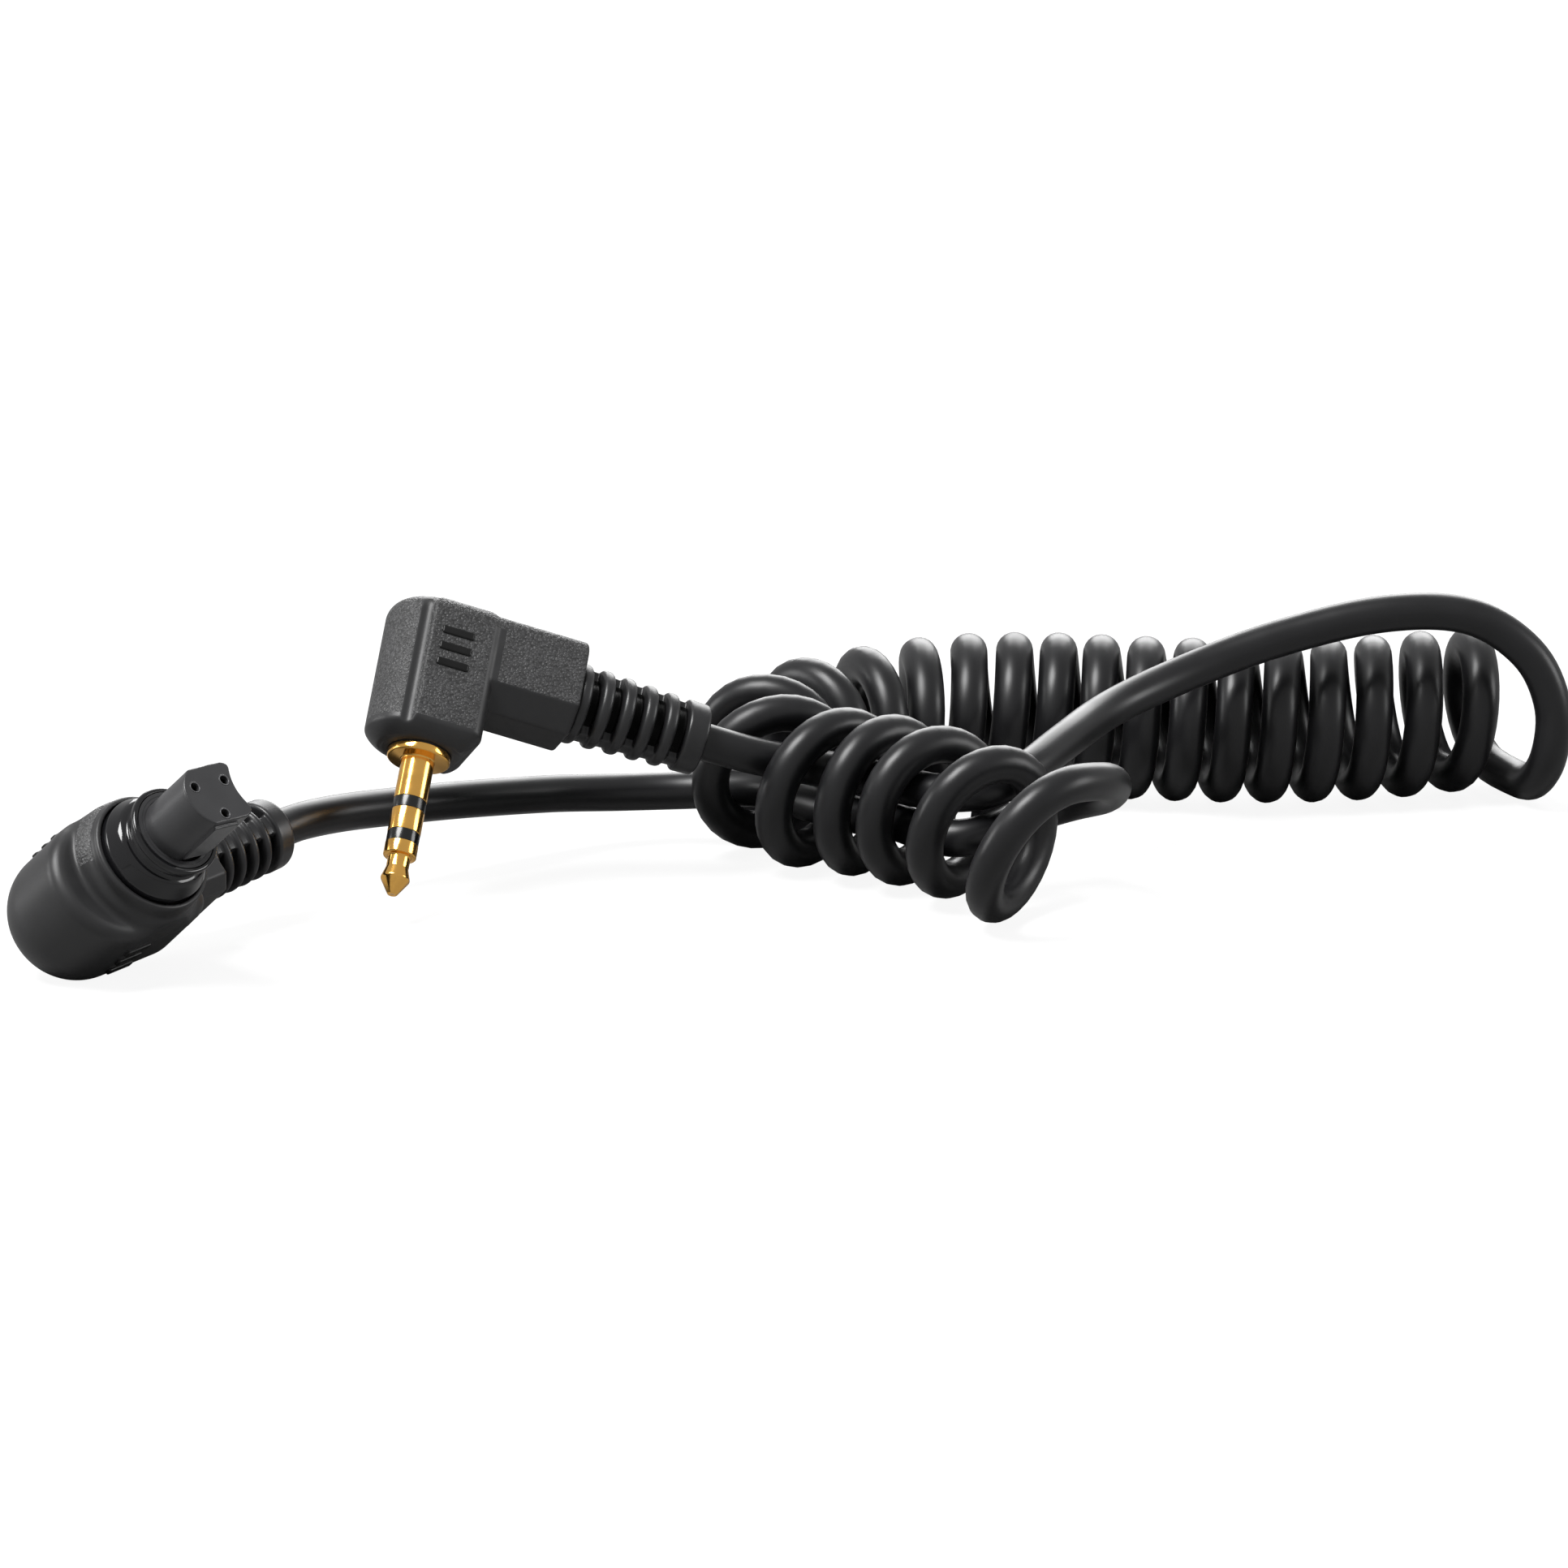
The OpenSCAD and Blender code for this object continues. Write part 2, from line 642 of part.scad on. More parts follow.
// ---------- camera plug ----------
module camera_housing() {
    color("#26272a") place_camera() difference() {
        union() {
            mirror([0, 0, 1])
                column(cam_round_x, cam_face_x, cam_col_w, cam_col_h, cam_corner_round, cam_closed_round);
            hull() {
                translate([0, 0, -shoulder_root])
                    linear_extrude(slice)
                        outline(cam_round_x, cam_face_x, cam_col_w, cam_corner_round, shoulder_inset);
                translate([0, 0, cam_shoulder_h - slice])
                    linear_extrude(slice) circle(d = cam_shoulder_d, $fn = hull_fn);
            }
            translate([0, 0, -cam_arm_drop]) mirror([0, 0, 1])
                arm(cam_face_x - arm_overlap, cam_arm_end, cam_arm_h, cam_slope, cam_slope, cam_arm_bevel);
            grip_bars(cam_bar_x, cam_bar_z, cam_col_w);
        }
        translate([0, 0, recess_floor]) cylinder(r = recess_r, h = cam_shoulder_h - recess_floor + slice);
        translate([0, 0, cam_cord_z - wire_room_d / 2])
            cylinder(d = cam_core_d + 2 * seat, h = recess_floor - cam_cord_z + wire_room_d / 2 + slice);
        rod_x(0, cam_arm_end - root_len - cord_in, cam_cord_z, wire_room_d);
        arm_bore(cam_arm_end, cam_cord_z);
    }
}

module camera_boot() {
    color("#1d1e20") place_camera() translate([cam_arm_end, 0, cam_cord_z]) boot(cam_boot_l);
}

module camera_core() {
    color("#3a3b3e") place_camera() difference() {
        translate([0, 0, cam_core_bottom]) cylinder(d = cam_core_d, h = recess_floor - cam_core_bottom);
        translate([0, 0, barrel_foot]) cylinder(d = barrel_d + 2 * seat, h = barrel_root + slice);
        for (h = holes) translate([h.x, h.y, cam_core_bottom - slice])
            cylinder(r = tail_r + seat, h = barrel_foot - cam_core_bottom + 2 * slice, $fn = hidden_sides);
    }
}

module camera_barrel() {
    color("#303134") place_camera() difference() {
        translate([0, 0, barrel_foot]) cylinder(d = barrel_d, h = sleeve_top - barrel_foot);
        translate([0, 0, barrel_foot - slice])
            cylinder(r = nose_bore_r, h = sleeve_top - barrel_foot + 2 * slice);
    }
}

// The nose inside its barrel: round with two flats
module nose_root() {
    intersection() {
        circle(d = nose_d);
        translate([-nose_d / 2, -nose_w / 2]) square([nose_d, nose_w]);
    }
}

// The nose past the sleeve: its keyed side comes out to two rounded corners with a groove between
module nose_outline() {
    difference() {
        union() {
            nose_root();
            translate([0, -nose_w / 2]) square([key_side - nose_corner, nose_w]);
            translate([key_side - nose_corner, nose_corner - nose_w / 2])
                square([nose_corner, nose_w - 2 * nose_corner]);
            for (side = [-1, 1])
                translate([key_side - nose_corner, side * (nose_w / 2 - nose_corner)])
                    circle(r = nose_corner);
        }
        translate([key_side + key_r - key_depth, key_shift]) circle(r = key_r);
    }
}

module camera_nose() {
    color("#17181a") place_camera() difference() {
        union() {
            rotate(nose_turn) {
                translate([0, 0, barrel_foot])
                    linear_extrude(sleeve_top - barrel_foot + guide_gap) nose_root();
                translate([0, 0, sleeve_top + wire_gap]) linear_extrude(nose_out - wire_gap) nose_outline();
                translate([-guide_w / 2, -nose_w / 2 - guide_t, sleeve_top + guide_gap])
                    cube([guide_w, guide_t + slice, nose_out - guide_gap - hole_lip]);
            }
        }
        for (h = holes) translate([h.x, h.y, 0]) {
            translate([0, 0, barrel_foot - slice])
                cylinder(r = contact_r + seat, h = contact_top - barrel_foot + slice);
            translate([0, 0, contact_top - slice]) cylinder(d = hole_d, h = hole_lip + 2 * slice);
        }
    }
}

module camera_contacts() {
    color("#b9893a") place_camera() for (h = holes) translate([h.x, h.y, 0]) difference() {
        union() {
            translate([0, 0, barrel_foot])
                cylinder(r = contact_r, h = contact_top - barrel_foot, $fn = hidden_sides);
            translate([0, 0, tail_end])
                cylinder(r = tail_r, h = barrel_foot - tail_end + slice, $fn = hidden_sides);
        }
        translate([0, 0, nose_top - hole_depth]) cylinder(d = hole_d, h = hole_depth);
    }
}

module camera_lock_sleeve() {
    color("#101113") place_camera() difference() {
        union() {
            translate([0, 0, sleeve_rest_z]) cylinder(d = sleeve_flange_d, h = sleeve_flange_t);
            translate([0, 0, sleeve_rest_z]) cylinder(d = sleeve_d, h = sleeve_len);
        }
        translate([0, 0, sleeve_rest_z - slice]) cylinder(r = sleeve_bore_r, h = sleeve_len + 2 * slice);
        translate([0, 0, sleeve_top - stop_t]) cylinder(d = stop_d + 2 * sleeve_fit, h = stop_t + slice);
    }
}

module camera_lock_spring() {
    color("#9a9da1") place_camera() translate([0, 0, recess_floor]) difference() {
        cylinder(r = sleeve_bore_r + spring_wall, h = spring_h);
        translate([0, 0, -slice]) cylinder(r = sleeve_bore_r, h = spring_h + 2 * slice);
    }
}

module camera_stop_ring() {
    color("#2b2c2f") place_camera() translate([0, 0, sleeve_top - stop_t + seat]) difference() {
        cylinder(d = stop_d, h = stop_t - seat);
        translate([0, 0, -slice]) cylinder(d = barrel_d + 2 * seat, h = stop_t + 2 * slice);
    }
}

module camera_wires() {
    cut = cam_arm_end - root_len - cord_in - wire_gap;
    starts = [
        [holes[0].x, holes[0].y - wire_d / 2],
        [holes[1].x, holes[1].y + wire_d / 4],
        [holes[2].x, holes[2].y]
    ];
    color("#b4472f") place_camera() for (k = [0 : 2])
        wire_between([starts[k].x, starts[k].y, cam_cord_z - wire_d / 2 - wire_gap],
                     [cut, [0, row, -row][k], cam_cord_z]);
}

// ---------- cord ----------
camera_cut = placed(cam_at, cam_tilt, [cam_arm_end - root_len - cord_in, 0, cam_cord_z]);
camera_exit = placed(cam_at, cam_tilt, [cam_arm_end + cam_boot_l + cord_d, 0, cam_cord_z]);
jack_cut = placed(jack_at, jack_tilt, [jack_arm_end - root_len - cord_in, 0, jack_cord_z]);
jack_exit = placed(jack_at, jack_tilt, [jack_arm_end + jack_boot_l + cord_d, 0, jack_cord_z]);

function along_route(first, route, last) =
    let (p = concat(first, [for (q = route) lay_at + q], last), k = knots(p),
         count = round(k[len(k) - 1] / lead_step))
    concat(
        [first[0]],
        [for (i = [0 : count]) eased(k, p, k[1] + (k[len(k) - 2] - k[1]) * i / count)],
        [last[1]]
    );

module cord_camera_lead() {
    color("#1a1a1c") tube(along_route([camera_cut, camera_exit], camera_route,
        [coil_tail_b + lead_end * coil_last_dir, coil_tail_b]), lead_sides, [0, 0, 1]);
}

module cord_jack_lead() {
    color("#1a1a1c") tube(along_route([jack_cut, jack_exit], jack_route,
        [coil_tail_a + lead_end * coil_first_dir, coil_tail_a]), lead_sides, [0, 0, 1]);
}

module cord_coil() {
    color("#202022") tube(coil_path, coil_sides, [0, 1, 0]);
}

jack_housing();
jack_boot();
jack_core();
jack_sleeve_contact();
jack_rear_insulator();
jack_ring_contact();
jack_front_insulator();
jack_tip_contact();
jack_solder_tags();
jack_wires();
camera_housing();
camera_boot();
camera_core();
camera_barrel();
camera_nose();
camera_contacts();
camera_lock_sleeve();
camera_lock_spring();
camera_stop_ring();
camera_wires();
cord_camera_lead();
cord_coil();
cord_jack_lead();
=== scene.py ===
import math

import bpy
import numpy as np
from mathutils import Matrix, Vector


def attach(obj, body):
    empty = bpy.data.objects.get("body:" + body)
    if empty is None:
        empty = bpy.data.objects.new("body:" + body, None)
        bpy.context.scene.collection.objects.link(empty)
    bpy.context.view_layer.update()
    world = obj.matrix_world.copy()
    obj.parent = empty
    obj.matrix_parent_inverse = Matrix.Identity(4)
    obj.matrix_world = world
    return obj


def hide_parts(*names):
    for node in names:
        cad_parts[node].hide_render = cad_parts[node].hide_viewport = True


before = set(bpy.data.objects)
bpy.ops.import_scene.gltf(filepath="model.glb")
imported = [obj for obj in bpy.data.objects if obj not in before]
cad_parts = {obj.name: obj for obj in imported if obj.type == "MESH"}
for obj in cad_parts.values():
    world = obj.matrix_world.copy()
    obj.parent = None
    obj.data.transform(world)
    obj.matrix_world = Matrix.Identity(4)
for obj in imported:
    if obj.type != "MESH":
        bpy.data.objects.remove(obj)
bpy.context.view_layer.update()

MM = 0.001
ROOT = "cord_set"
SLEEVE = "lock_sleeve"

# ---------- where things lie, in millimetres and degrees, as in the part's source ----------
LAY_AT = Vector((30.9, 42.6, 0))
JACK_AT = LAY_AT + Vector((-29, -40.1, 2.5))
JACK_TILT = (-35, 19, 10)
CAMERA_AT = LAY_AT + Vector((-47.1, -54.8, 8.4))
CAMERA_TILT = (50, -5, 50)

# ---------- the plugs' sizes, in millimetres and degrees ----------
# the cord and what both plugs share
CORD_D = 2.85
CORD_IN = 2.4
ROOT_LEN = 1.5
ROOT_D = 4.4
SEAT = 0.02
CORD_GAP = 0.05
ARM_W = 6.8
ARM_EDGE = 0.14
WIRE_ROOM_D = 3.7
BAR_SIZE = (2.5, 0.5, 0.64)
BAR_RIM = 0.14
BAR_PITCH = 1.3
BAR_COUNT = 3
BOOT_D1 = 6.2
BOOT_D2 = 5.4
BOOT_WINDOWS = 5
BOOT_COLLAR = 1.7
WINDOW_W = 0.85
WINDOW_FLOOR = CORD_D / 2 + CORD_GAP + 0.3
RIB_EDGE = 0.45
RIB_FILLET = 0.16
SPINE_W = 1.5
SPINE_SUNK = 0.32
BOOT_REACH = 3.2

# the jack's housing, from its tip upwards; arm_way says which way the arm's crown faces
JACK = dict(round_x=-0.8, face_x=3.8, width=7.2, corner=1.2, top=23.3, end=10.6, cord_z=19.2,
            boot=10.4, arm_root=15.7, arm_way=1, arm_h=7.4, slope_h=1.9, slope_w=1.6, crown=1.3)
JACK_FOOT = 11.5
# its flat panels, the channels behind them, and the dish and moat round the flange
PANEL_FOOT = 12.0
PANEL_X = -1.9
PANEL_PROUD = 0.13
CHANNEL_X = -2.4
CHANNEL_Y = 3.7
CHANNEL_R = 0.62
DISH_R = 2.8
MOAT_R = 3.05
MOAT_DEPTH = 0.2
# where its skin is smooth, without grain
SMOOTH_FOOT = 13.1
SMOOTH_FOOT_R = 5.5
SMOOTH_CHANNEL = (-2.75, -1.92)
SMOOTH_CORNER = (3.0, 3.95)
SMOOTH_ARM_X = 3.9
JACK_CORE_D = 4.6
JACK_CORE_TOP = 18.55
JACK_BAR_X = 0.3
JACK_BAR_DROP = 4.3
JACK_BOX = ((-4.5, -3.8, 11.4), (10.7, 3.8, 23.4))

# the jack's contacts and insulators, outwards from its axis and up from its tip
PIN_R = 1.25
PIN_LEN = 11.0
TIP_LEN = 4.1
BAND_W = 0.9
BAND_SUNK = 0.02
RING_FOOT = 5.0
RING_TOP = 6.8
COLLAR_FOOT = 7.7
COLLAR_R = 2.375
JACK_FLANGE_TOP = 11.6
AXIS_R = 0.02
# the tip's outline from its point to its shoulder: radius, height and rounding
TIP_SHAPE = [
    (0.35, 0, 0.12), (1.12, 1.25, 0.25), (0.85, 2.15, 0.2), (0.85, 3.05, 0.1), (PIN_R, 3.1, 0.1),
]
TIP_ROD_R = 0.35
FRONT_BORE_R = 0.37
FRONT_TUBE_R = 0.575
FRONT_TOP = 13.4
RING_BORE_R = 0.595
RING_TUBE_R = 0.8
RING_TUBE_TOP = 12.8
REAR_BORE_R = 0.82
REAR_TUBE_R = 1.025
REAR_TOP = 12.2
COLLAR_BORE_R = 1.045

# the camera plug's housing, from its shoulder's root
CAMERA = dict(round_x=-2.6, face_x=4.8, width=10.0, corner=1.8, height=9.8, end=9.5, cord_z=-5.3,
              boot=9.0, arm_root=-1.9, arm_way=-1, arm_h=6.8, slope_h=1.0, slope_w=1.0, crown=0.7)
DOME_R = 4.4
SHOULDER_H = 2.2
SHOULDER_R = 4.75
SHOULDER_FOOT = -2
SHOULDER_EDGE = 0.3
# the crest of the shoulder: where it faces, how far round its grain goes, painted lighter there as
# light falling on that side, and its cone
CREST_WAY = 105
CREST_LIT_REACH = 58
CREST_R = 5.05
CREST_Z = 0.9
CREST_LEAN = 0.4
CREST_SLOPE = 0.28
CREST_CLEAR = 0.05
CREST_LIT_Z = (0.25, 1.5)
CREST_LIT_R = 4.8
RECESS_R = 4.34
RECESS_FLOOR = -0.6
CAMERA_CORE_D = 7.6
CAMERA_BAR_X = -1.8
CAMERA_BAR_Z = -4.0
CAMERA_BOX = ((-7.7, -5.1, -9.9), (9.6, 5.1, 2.3))

# the locking sleeve, from its bore outwards and from the housing to the nose
SLEEVE_REST = 2.0
SLEEVE_TOP = 5.5
SLEEVE_BORE_R = 2.9
SKIRT_R = 4.24
SKIRT_TOP = 2.75
BELL_R = 3.7
BELL_Z = 3.8
NECK_R = 3.15
NECK_FOOT = 4.0
NECK_TOP = 4.75
LIP_R = 3.58
LIP_FOOT = 5.0
STOP_ROOM_R = 3.2
STOP_ROOM_H = 0.4

# the nose, its keyed side, groove and ledge, and its contact holes with their rims
NOSE_TOP = 10.9
NOSE_FOOT = -3.6
NOSE_TURN = -6
NOSE_R = 2.6
NOSE_FLAT = 2.3
NOSE_EDGE = 0.05
NOSE_BOX = ((-2.8, -2.8, NOSE_FOOT), (2.9, 2.8, NOSE_TOP))
KEY_X = 1.2
KEY_HALF = 1.5
KEY_CORNER = 0.95
GROOVE_X = 5.55
GROOVE_Y = 0.2
GROOVE_R = 3.4
LEDGE_HALF = 1.2
LEDGE_IN = 2.0
LEDGE_OUT = 2.55
HOLE_RING_R = 2.9 / math.sqrt(3)
HOLE_TURN = NOSE_TURN + 30
HOLE_R = 0.35
HOLE_DEPTH = 0.5
HOLE_LIP = 0.09
CONTACT_R = 0.5
RIM_W = 0.1
RIM_SUNK = 0.12
RIM_PROUD = 0.03

# ---------- the grid that each moulded piece is drawn on, in millimetres ----------
JACK_CELL = 0.1
CAMERA_CELL = 0.12
BOOT_CELL = 0.1
NOSE_CELL = 0.08
BAR_CELL = 0.06

# ---------- the cord's route, in millimetres from LAY_AT, and degrees ----------
TURN_R = 5.0
# turn number, x, y, z, heading, lean and how much wider than TURN_R
STATIONS = [
    (0, 55, 2.2, 6.6, 200, 0, 0), (1, 51, 0.8, 6.6, 193, 0, 0), (2, 47.2, -0.4, 6.5, 188, 2, 0),
    (4, 40.2, -2, 6.5, 183, 2, 0), (6, 33.2, -2, 6.5, 182, 2, 0), (8, 26.2, -1, 6.5, 183, 2, 0),
    (10, 19.4, 0, 6.5, 184, 0, 0), (12, 12.4, -0.8, 6.5, 189, 0, 0), (13, 8.4, -3.2, 6.5, 200, 0, 0),
    (14, 4.2, -6.4, 6.5, 222, -3, 0), (15, 0, -10.6, 6.5, 252, -4, 0),
    (16, -1.5, -16.6, 6.5, 286, -2, 0), (17, 1.8, -22.5, 6.5, 312, 3, 0),
    (18, 5.8, -25, 6.5, 322, 3, 0), (19, 9.2, -27.8, 6.5, 318, 0, 0), (20, 13, -32, 6.5, 316, 6, 0),
    (21, 17, -39.5, 6.6, 324, 14, 0.2), (22, 23, -45.5, 6.6, 328, 16, 0.4),
]
COIL_END = 21.5
CURL_ROUTE = [
    (23.6, -39.5, 11), (24.4, -35.3, 9.6), (23.8, -31.2, 7.9), (21.5, -28.6, 6.7), (19, -28.8, 6),
    (17.4, -30.2, 5.7),
]
CAMERA_ROUTE = [
    (-28, -26.6, 6), (-18, -18.5, 4.8), (-12.5, -15.6, 4.2), (-7.3, -15, 4.2), (-1.8, -17.2, 4.9),
    (2, -21.7, 4.9), (5.2, -25.2, 4.9), (8.5, -28.5, 5.1), (10.4, -31.3, 5.1), (12.6, -33, 5),
]
JACK_ROUTE = [
    (2, -23.2, 8.1), (5.3, -25.6, 8.1), (8.8, -29, 8.1), (12, -31.9, 8.2), (15.2, -32.4, 8.6),
    (17.9, -29.9, 9.3), (20.6, -24.8, 10.1), (24.8, -16.5, 11), (31, -11, 12.6), (38, -8.5, 14.6),
    (46, -7, 16.1), (52.5, -6, 15.6), (57, -5.8, 12.5), (58.8, -6, 8.4), (58.5, -6, 4.6),
    (57.6, -4, 2.3),
]
CORD_SIDES = 24
LAST_STEP = 0.85

# ---------- light and floor, in metres and shares ----------
SKY = 0.2
GLOSSY_WHITE = 0.35
FLOOR_HALF = 3.0
FLOOR_DROP = 0.00002
FLOOR_SEEN = 0.92
FLOOR_UNSEEN = 0.3
FLOOR_GLOW = 1.1
FLOOR_GLOW_SHARE = 0.82


def stand(at, tilt):
    """The matrix from a plug's own frame, in millimetres, to the row frame, in metres."""
    turn = Matrix.Identity(4)
    for axis, angle in zip("XYZ", tilt):
        turn = Matrix.Rotation(math.radians(angle), 4, axis) @ turn
    return Matrix.Scale(MM, 4) @ Matrix.Translation(at) @ turn


JACK_PLACE = stand(JACK_AT, JACK_TILT)
CAMERA_PLACE = stand(CAMERA_AT, CAMERA_TILT)


# ---------- camera ----------
def make_camera():
    """The photograph's view: level left to right, looking down a little, from a metre away."""
    elevation = math.radians(14)
    distance = 1.0
    frame_width = 0.12075
    target = Vector((LAY_AT.x, LAY_AT.y, 0.96)) * MM
    look = Vector((0, math.cos(elevation), -math.sin(elevation)))
    data = bpy.data.cameras.new("photo_view")
    data.sensor_width = 36
    data.lens = data.sensor_width * distance / frame_width
    data.clip_start = 0.05
    data.clip_end = 20
    camera = bpy.data.objects.new("photo_view", data)
    bpy.context.scene.collection.objects.link(camera)
    camera.location = target - look * distance
    camera.rotation_mode = "QUATERNION"
    camera.rotation_quaternion = look.to_track_quat("-Z", "Y")
    bpy.context.scene.camera = camera


# ---------- materials ----------
def new_material(name, color, rough, specular=0.5):
    """A principled material and its shader node."""
    made = bpy.data.materials.new(name)
    made.use_nodes = True
    shader = made.node_tree.nodes["Principled BSDF"]
    shader.inputs["Base Color"].default_value = (*color, 1)
    shader.inputs["Roughness"].default_value = rough
    shader.inputs["Specular IOR Level"].default_value = specular
    return made, shader


def node(made, kind, **values):
    """A new node in a material or the world, with its settings and inputs given by name."""
    new = made.node_tree.nodes.new(kind)
    for key, value in values.items():
        if hasattr(new, key):
            setattr(new, key, value)
        else:
            new.inputs[key.replace("_", " ")].default_value = value
    return new


def join(made, output, socket):
    """Links an output to an input, in a material or the world."""
    made.node_tree.links.new(output, socket)


def ramp(made, source, low, high, start=0.0, end=1.0):
    """Maps a value from start..end to low..high, clamped."""
    spread = node(made, "ShaderNodeMapRange", From_Min=start, From_Max=end, To_Min=low, To_Max=high)
    join(made, source, spread.inputs["Value"])
    return spread.outputs["Result"]


def place_of(made, scale=1.0):
    """Where the surface is, in millimetres, in its own object's frame."""
    at = node(made, "ShaderNodeTexCoord")
    size = node(made, "ShaderNodeVectorMath", operation="SCALE")
    size.inputs["Scale"].default_value = scale / MM
    join(made, at.outputs["Object"], size.inputs[0])
    return size.outputs["Vector"]


def tinted(made, shader, color, value, dark, light):
    """Base colour that goes from dark to light times color as value goes from 0 to 1."""
    mix = node(made, "ShaderNodeMix", data_type="RGBA")
    mix.inputs["A"].default_value = (*[c * dark for c in color], 1)
    mix.inputs["B"].default_value = (*[c * light for c in color], 1)
    join(made, value, mix.inputs["Factor"])
    join(made, mix.outputs["Result"], shader.inputs["Base Color"])


def bumped(made, shader, height, depth, strength=1.0):
    """Adds bump of the given depth, in millimetres."""
    bump = node(made, "ShaderNodeBump", Strength=strength, Distance=depth * MM)
    join(made, height, bump.inputs["Height"])
    join(made, bump.outputs["Normal"], shader.inputs["Normal"])


def leather(name, color, rough, cell=0.19, depth=0.06):
    """Moulded plastic with a fine leather grain: pebbles a cell wide, with painted shade in the
    grooves and a painted highlight on the pebble tops, stronger in random patches.
    """
    made, shader = new_material(name, color, rough)
    where = place_of(made)
    warp = node(made, "ShaderNodeTexNoise", Scale=1.6 / cell, Detail=2.0)
    join(made, where, warp.inputs["Vector"])
    shift = node(made, "ShaderNodeVectorMath", operation="MULTIPLY_ADD")
    shift.inputs[1].default_value = (cell * 0.9,) * 3
    join(made, warp.outputs["Color"], shift.inputs[0])
    join(made, where, shift.inputs[2])
    pebbles = node(made, "ShaderNodeTexVoronoi", feature="SMOOTH_F1", Scale=1 / cell, Smoothness=0.6)
    join(made, shift.outputs["Vector"], pebbles.inputs["Vector"])
    height = ramp(made, pebbles.outputs["Distance"], 1, 0, 0.1, 0.75)
    broad = node(made, "ShaderNodeTexNoise", Scale=0.5, Detail=3.0)
    join(made, where, broad.inputs["Vector"])
    # painted shade in the grooves and painted highlight on the pebble tops, stronger in random patches
    painted_pebble_light = node(made, "ShaderNodeMath", operation="MULTIPLY")
    join(made, height, painted_pebble_light.inputs[0])
    join(made, broad.outputs["Fac"], painted_pebble_light.inputs[1])
    tinted(made, shader, color, painted_pebble_light.outputs["Value"], 0.5, 3.0)
    join(made, ramp(made, height, rough + 0.12, rough - 0.06), shader.inputs["Roughness"])
    bumped(made, shader, height, depth)
    return made


def moulded(name, color, rough, speckle=0.12, depth=0.004, spread=0.35, specular=0.5):
    """Smooth moulded plastic or rubber: a faint orange peel, and patches a little duller."""
    made, shader = new_material(name, color, rough, specular)
    where = place_of(made)
    fine = node(made, "ShaderNodeTexNoise", Scale=1 / speckle, Detail=3.0)
    join(made, where, fine.inputs["Vector"])
    broad = node(made, "ShaderNodeTexNoise", Scale=0.35, Detail=2.0)
    join(made, where, broad.inputs["Vector"])
    tinted(made, shader, color, broad.outputs["Fac"], 0.8, 1.25)
    join(made, ramp(made, broad.outputs["Fac"], rough * (1 - spread), rough * (1 + spread), 0.3, 0.7),
         shader.inputs["Roughness"])
    bumped(made, shader, fine.outputs["Fac"], depth)
    return made


def plated(name, color, rough):
    """Polished plated metal with fine turning marks and a little tarnish."""
    made, shader = new_material(name, color, rough)
    shader.inputs["Metallic"].default_value = 1
    where = place_of(made)
    marks = node(made, "ShaderNodeTexNoise", Scale=9.0, Detail=4.0)
    join(made, where, marks.inputs["Vector"])
    broad = node(made, "ShaderNodeTexNoise", Scale=0.9, Detail=2.0)
    join(made, where, broad.inputs["Vector"])
    tinted(made, shader, color, broad.outputs["Fac"], 0.9, 1.06)
    join(made, ramp(made, broad.outputs["Fac"], rough * 0.8, rough * 1.4, 0.3, 0.7),
         shader.inputs["Roughness"])
    bumped(made, shader, marks.outputs["Fac"], 0.0004)
    return made


def make_materials():
    """Every finish by its short name."""
    return dict(
        shell=leather("shell_leather_grain", (0.040, 0.040, 0.041), 0.40),
        # the crest's grain is real; its lighter tone, on one side only, is painted light
        crest=leather("crest_grain_painted_light", (0.05, 0.05, 0.051), 0.40),
        smooth_shell=moulded("shell_smooth", (0.025, 0.025, 0.026), 0.42, spread=0.12, specular=0.4),
        boot=moulded("boot_rubber", (0.016, 0.016, 0.017), 0.36, depth=0.006, spread=0.15),
        # near-black painted shade on the floors of the strain reliefs' windows
        deep=moulded("boot_window_painted_shade", (0.002, 0.002, 0.002), 0.6, specular=0.1),
        cord=moulded("cord_jacket", (0.009, 0.009, 0.010), 0.36, speckle=0.6, depth=0.001, spread=0.08,
                     specular=0.42),
        nose=moulded("nose_plastic", (0.042, 0.042, 0.044), 0.30, spread=0.1, specular=0.4),
        # lighter rims round the nose's holes: a painted highlight on their edges
        rim=moulded("hole_rim_painted_highlight", (0.09, 0.09, 0.095), 0.25, depth=0.001),
        bar=moulded("bar_plastic", (0.005, 0.005, 0.005), 0.38, specular=0.3),
        sleeve=moulded("sleeve_gloss", (0.008, 0.008, 0.009), 0.1, depth=0.0005, spread=0.1),
        band=moulded("band_gloss", (0.006, 0.006, 0.006), 0.2, depth=0.001),
        gold=plated("gold_plate", (1.0, 0.55, 0.13), 0.13),
        brass=plated("brass_plate", (0.75, 0.5, 0.2), 0.25),
        # brass for the contacts deep in the nose's holes, painted nearly black as the holes' shade
        shaded_brass=plated("brass_painted_shade", (0.05, 0.04, 0.03), 0.5),
        steel=plated("spring_steel", (0.6, 0.6, 0.62), 0.25),
        wire=moulded("wire_jacket", (0.45, 0.06, 0.03), 0.3),
        core=moulded("core_plastic", (0.035, 0.035, 0.037), 0.5),
    )


# ---------- meshes ----------
def piece(name, points, faces, place, material, body, nodes=(), other=None):
    """A smooth-shaded mesh piece, made in a plug's own frame or in the row frame.

    other is a second material and a test that picks its faces by their middle."""
    mesh = bpy.data.meshes.new(name)
    mesh.from_pydata([tuple(p) for p in points], [], [tuple(f) for f in faces])
    mesh.shade_smooth()
    mesh.materials.append(material)
    if other:
        mesh.materials.append(other[0])
        for face in mesh.polygons:
            face.material_index = int(other[1](face.center))
    mesh.transform(place)
    mesh.validate()
    made = bpy.data.objects.new(name, mesh)
    bpy.context.scene.collection.objects.link(made)
    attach(made, body)
    if nodes:
        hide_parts(*nodes)
    return made


